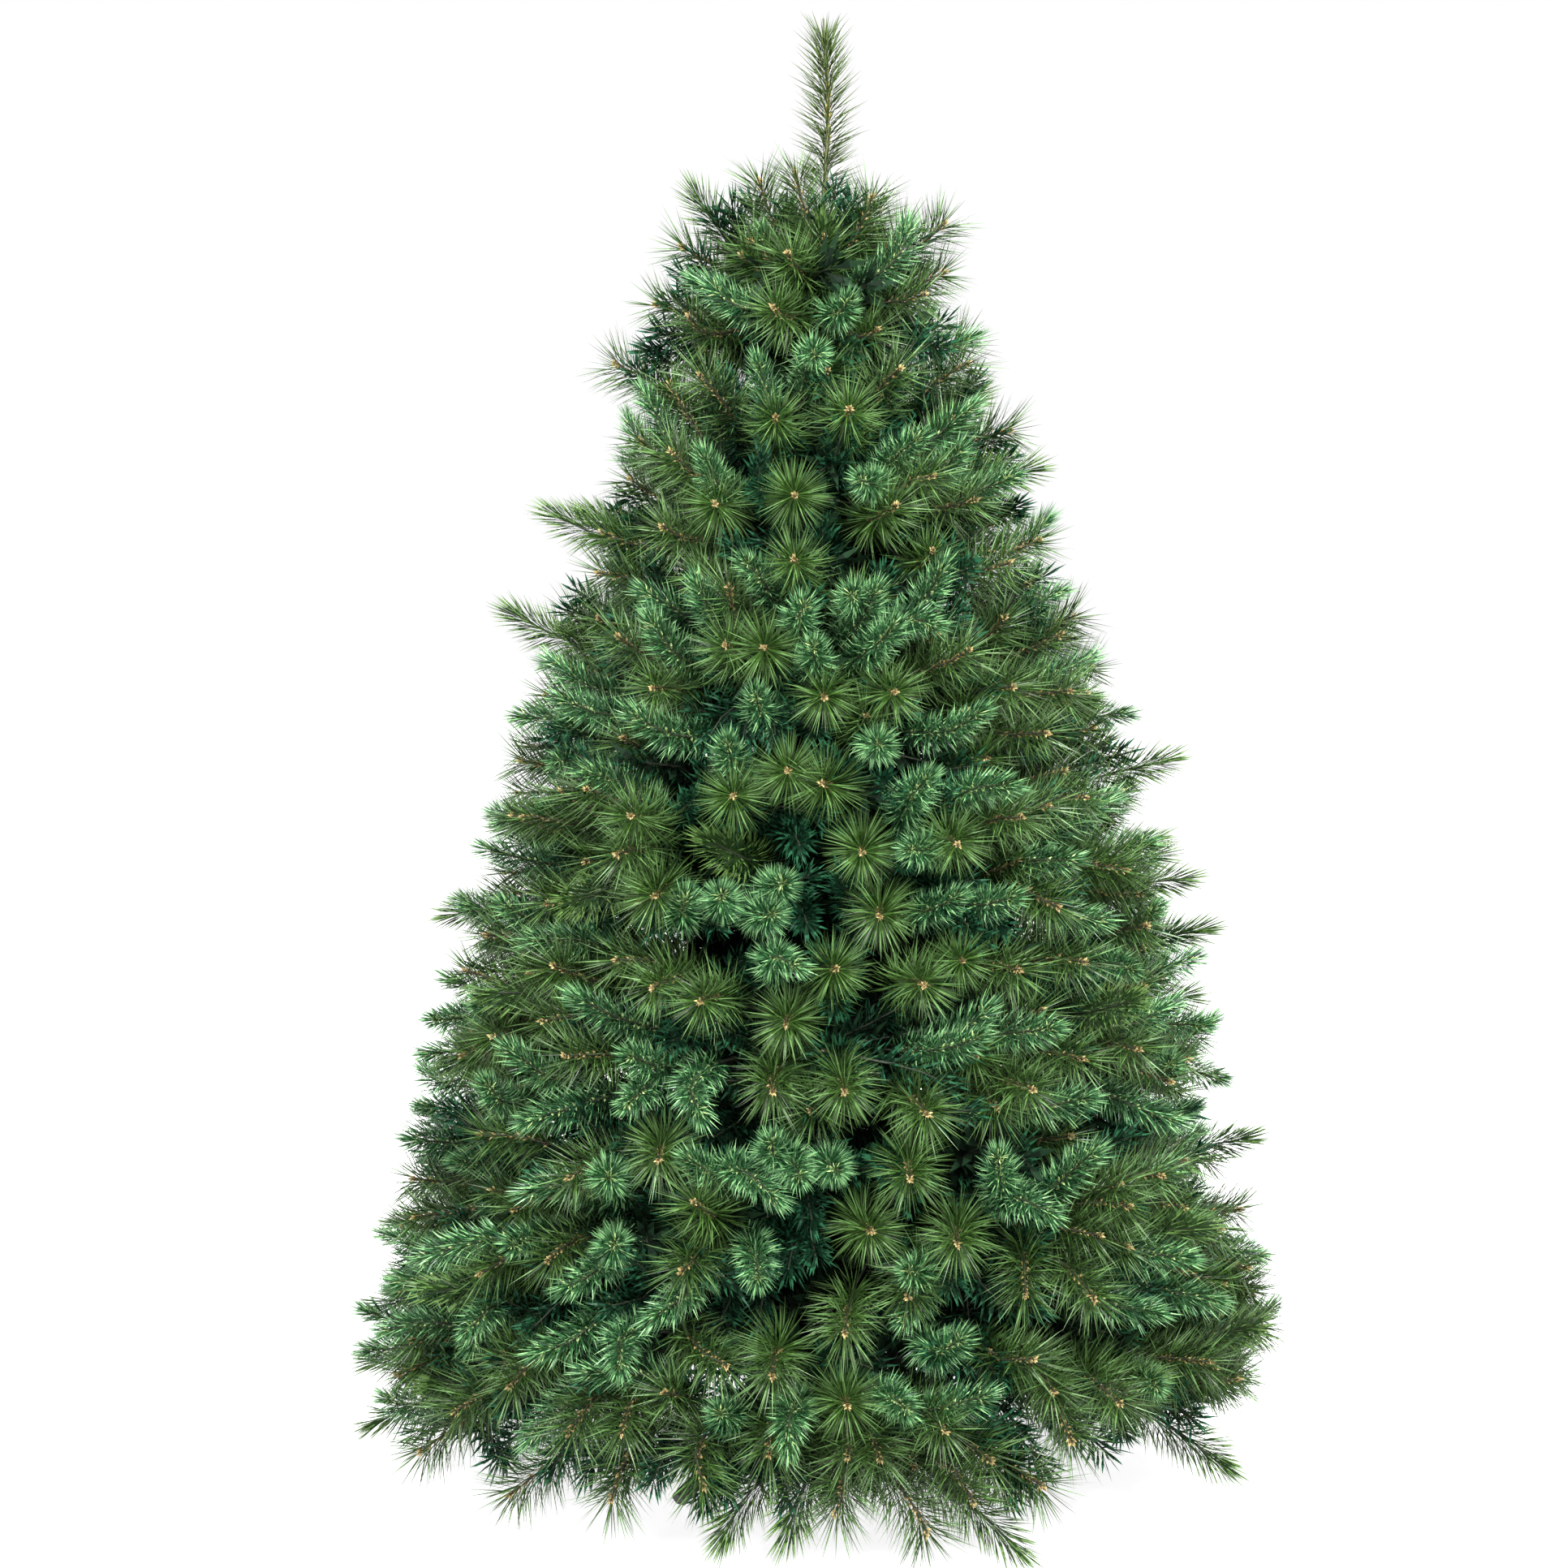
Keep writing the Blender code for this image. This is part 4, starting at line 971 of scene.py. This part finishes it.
needles(
    "film_tufts",
    shortened(film_tips, 0.009, 0.0),
    film_pair("frayed_film_tuft", "_end", ("#7E9A5A", 0.55, 0.25), ("#A3B67C", 0.55, 0.25)),
    sweep=(58, 14, 16), spacing=0.0007, length=0.0135, width=0.0018, bend=0.001,
    length_scatter=0.25, seed=52,
)

# OLIVE TIPS
# Longer tips of slit film in a warmer green, wound on the same wire at some boughs' ends. Their
# needles close up towards the wire's end, so that they taper to a point.
# Their needles too are darker at the wire as painted shade and paler at their ends as painted
# highlight.
needles(
    "olive_needles",
    shortened(olive_tips, 0.20, 0.0),
    film_pair("olive_slit_film", "_end", ("#1A2E10", 0.42, 0.15), ("#46602F", 0.40, 0.3)),
    sweep=(56, 12, 7), spacing=0.00042, length=0.046, width=0.0018, widest_at=0.60, bend=0.001,
    closing=6.0, length_scatter=0.14, seed=55,
)

# SHADED TIPS
# Slit film on the tips behind the outermost ones and, darkest, on those along the pole, its colours
# darkened as painted shade. Hardly any light reaches them, so their needles are drawn broader and
# fewer than the real ones.
needles(
    "shaded_needles",
    shaded_tips,
    film_pair("shaded_slit_film", "_end", ("#091F12", 0.5, 0.05), ("#1A402A", 0.45, 0.10)),
    sweep=(62, 34, 12), spacing=0.00106, length=0.034, width=0.0033, widest_at=0.6, bend=0.002,
    length_scatter=0.2, seed=60,
)
# The innermost film is near black: painted shade inside the crown.
needles(
    "inner_needles",
    inner_tips,
    film_pair("innermost_film_painted_shade", "_end", ("#0B160D", 0.6, 0.05), ("#142617", 0.6, 0.05)),
    sweep=(64, 40, 16), spacing=0.0032, length=0.045, width=0.0096, bend=0.002, length_scatter=0.2,
    seed=61,
)

# LEADER
# One upright tip plugged on the pole's top, of thin needles that close upwards, bare at its end.
# Its wire is wound with straw-green film, with dry scales and a paler joint half way up.
LEADER_HEIGHT = TREE_HEIGHT - 0.010 - POLE_TOP
LEADER_FOOT = POLE_TOP + 0.0003
LEADER_SHIFT, LEADER_NOD, NOD_FROM = 0.010, 0.006, 0.6
BARE_FOOT, BARE_END = 0.012, 0.030
leader_path = []
for k in range(11):
    share = k / 10
    bend = LEADER_SHIFT * (1 - (1 - share) ** 4)
    bend -= LEADER_NOD * max(0.0, share - NOD_FROM) / (1 - NOD_FROM)
    leader_path.append(Vector((bend, 0, LEADER_FOOT + share * LEADER_HEIGHT)))

# Straw-green film wound on wire: dull, and uneven with the ridges of its turns.
straw_film, tree, shader, place = new_material("straw_film_on_wire", "#39421A", 0.7)
turns = add_node(tree, "ShaderNodeTexNoise", {"Vector": place, "Scale": 500.0, "Detail": 3.0})
bump = add_node(tree, "ShaderNodeBump", {"Height": turns, "Strength": 0.6, "Distance": 0.0005})
set_inputs(tree, shader, {"Normal": bump})
wires("leader_wire", [leader_path], 0.0034, 0.0012, 10, straw_film, ["leader"])
# Its needles too are darker at the wire as painted shade and paler at their ends as painted
# highlight.
needles(
    "leader_needles",
    shortened([Tip(leader_path, 1.0)], LEADER_HEIGHT - BARE_FOOT, BARE_END),
    film_pair("matt_leader_film", "_end", ("#1B2709", 0.42, 0.10), ("#364720", 0.42, 0.20)),
    sweep=(64, 34, 10), replaced=["leader"], spacing=0.00034, length=0.050, width=0.0018,
    widest_at=0.42, bend=0.002, closing=2.6, length_scatter=0.24, seed=71,
)
for name, paths, inner_hex, outer_hex, seed in (
    ("leader_scales", [leader_path[:3], leader_path[2:9]], "#3E3B1A", "#6F6A38", 72),
    ("leader_joint", [leader_path[5:7]], "#6E6238", "#A08C5C", 73),
):
    needles(
        name,
        [Tip(wire, 1.0) for wire in paths],
        film_pair(name + "_film", "_edge", (inner_hex, 0.7, 0.2), (outer_hex, 0.7, 0.2)),
        sweep=(40, 34, 10), replaced=["leader"], spacing=0.0012, length=0.0080, width=0.0032,
        bend=0.001, length_scatter=0.2, seed=seed,
    )

# FLOOR, LIGHT AND CAMERA
# A plain near-white studio: a pale floor, an even pale surround, two soft lights in front and one
# behind. The camera stands where the photograph was taken from, a little above the tree's middle.
bm = bmesh.new()
bmesh.ops.create_grid(bm, x_segments=1, y_segments=1, size=30.0)

# A lit white table, as cut-out photographs are taken on: it glows, so that shadows stay pale.
pale_floor, tree, shader, place = new_material("lit_white_table", "#AFAFAF", 1.0)
set_inputs(tree, shader, {"Emission Color": linear("#FFFFFF"), "Emission Strength": 0.88})
floor = mesh_object("studio_floor", bm, pale_floor)
floor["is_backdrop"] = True

world = bpy.data.worlds.new("studio")
bpy.context.scene.world = world
world.use_nodes = True
surround = world.node_tree.nodes["Background"]
set_inputs(world.node_tree, surround, {"Color": (1.0, 1.0, 1.0, 1.0), "Strength": 1.0})

LAMP_SIZE = 1.5
LIT_POINT = Vector((0, 0, 0.8))


def soft_light(name, place, power):
    """A round soft box that faces the middle of the tree."""
    lamp = bpy.data.lights.new(name, "AREA")
    lamp.shape = "DISK"
    lamp.size = LAMP_SIZE
    lamp.energy = power
    made = linked_object(name, lamp)
    made.location = place
    made.rotation_mode = "QUATERNION"
    made.rotation_quaternion = (LIT_POINT - made.location).to_track_quat("-Z", "Y")


soft_light("key_light", (1.5, -3.4, 3.6), 685)
soft_light("fill_light", (-1.9, -3.6, 3.0), 345)
soft_light("back_light", (-0.6, 4.2, 3.4), 300)

PHOTO_PIXELS = 1931
FOCAL_PIXELS = 4505
SENSOR = 36.0
CAMERA_PLACE = (-0.0445, -4.5, 1.15)
CAMERA_DIP = 3.72
camera_data = bpy.data.cameras.new("photo_view")
camera_data.sensor_width = SENSOR
camera_data.lens = FOCAL_PIXELS / PHOTO_PIXELS * SENSOR
camera = linked_object("photo_view", camera_data)
camera.location = CAMERA_PLACE
camera.rotation_euler = (math.radians(90 - CAMERA_DIP), 0, 0)
bpy.context.scene.camera = camera
bpy.context.scene.view_settings.view_transform = "Standard"

low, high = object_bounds()
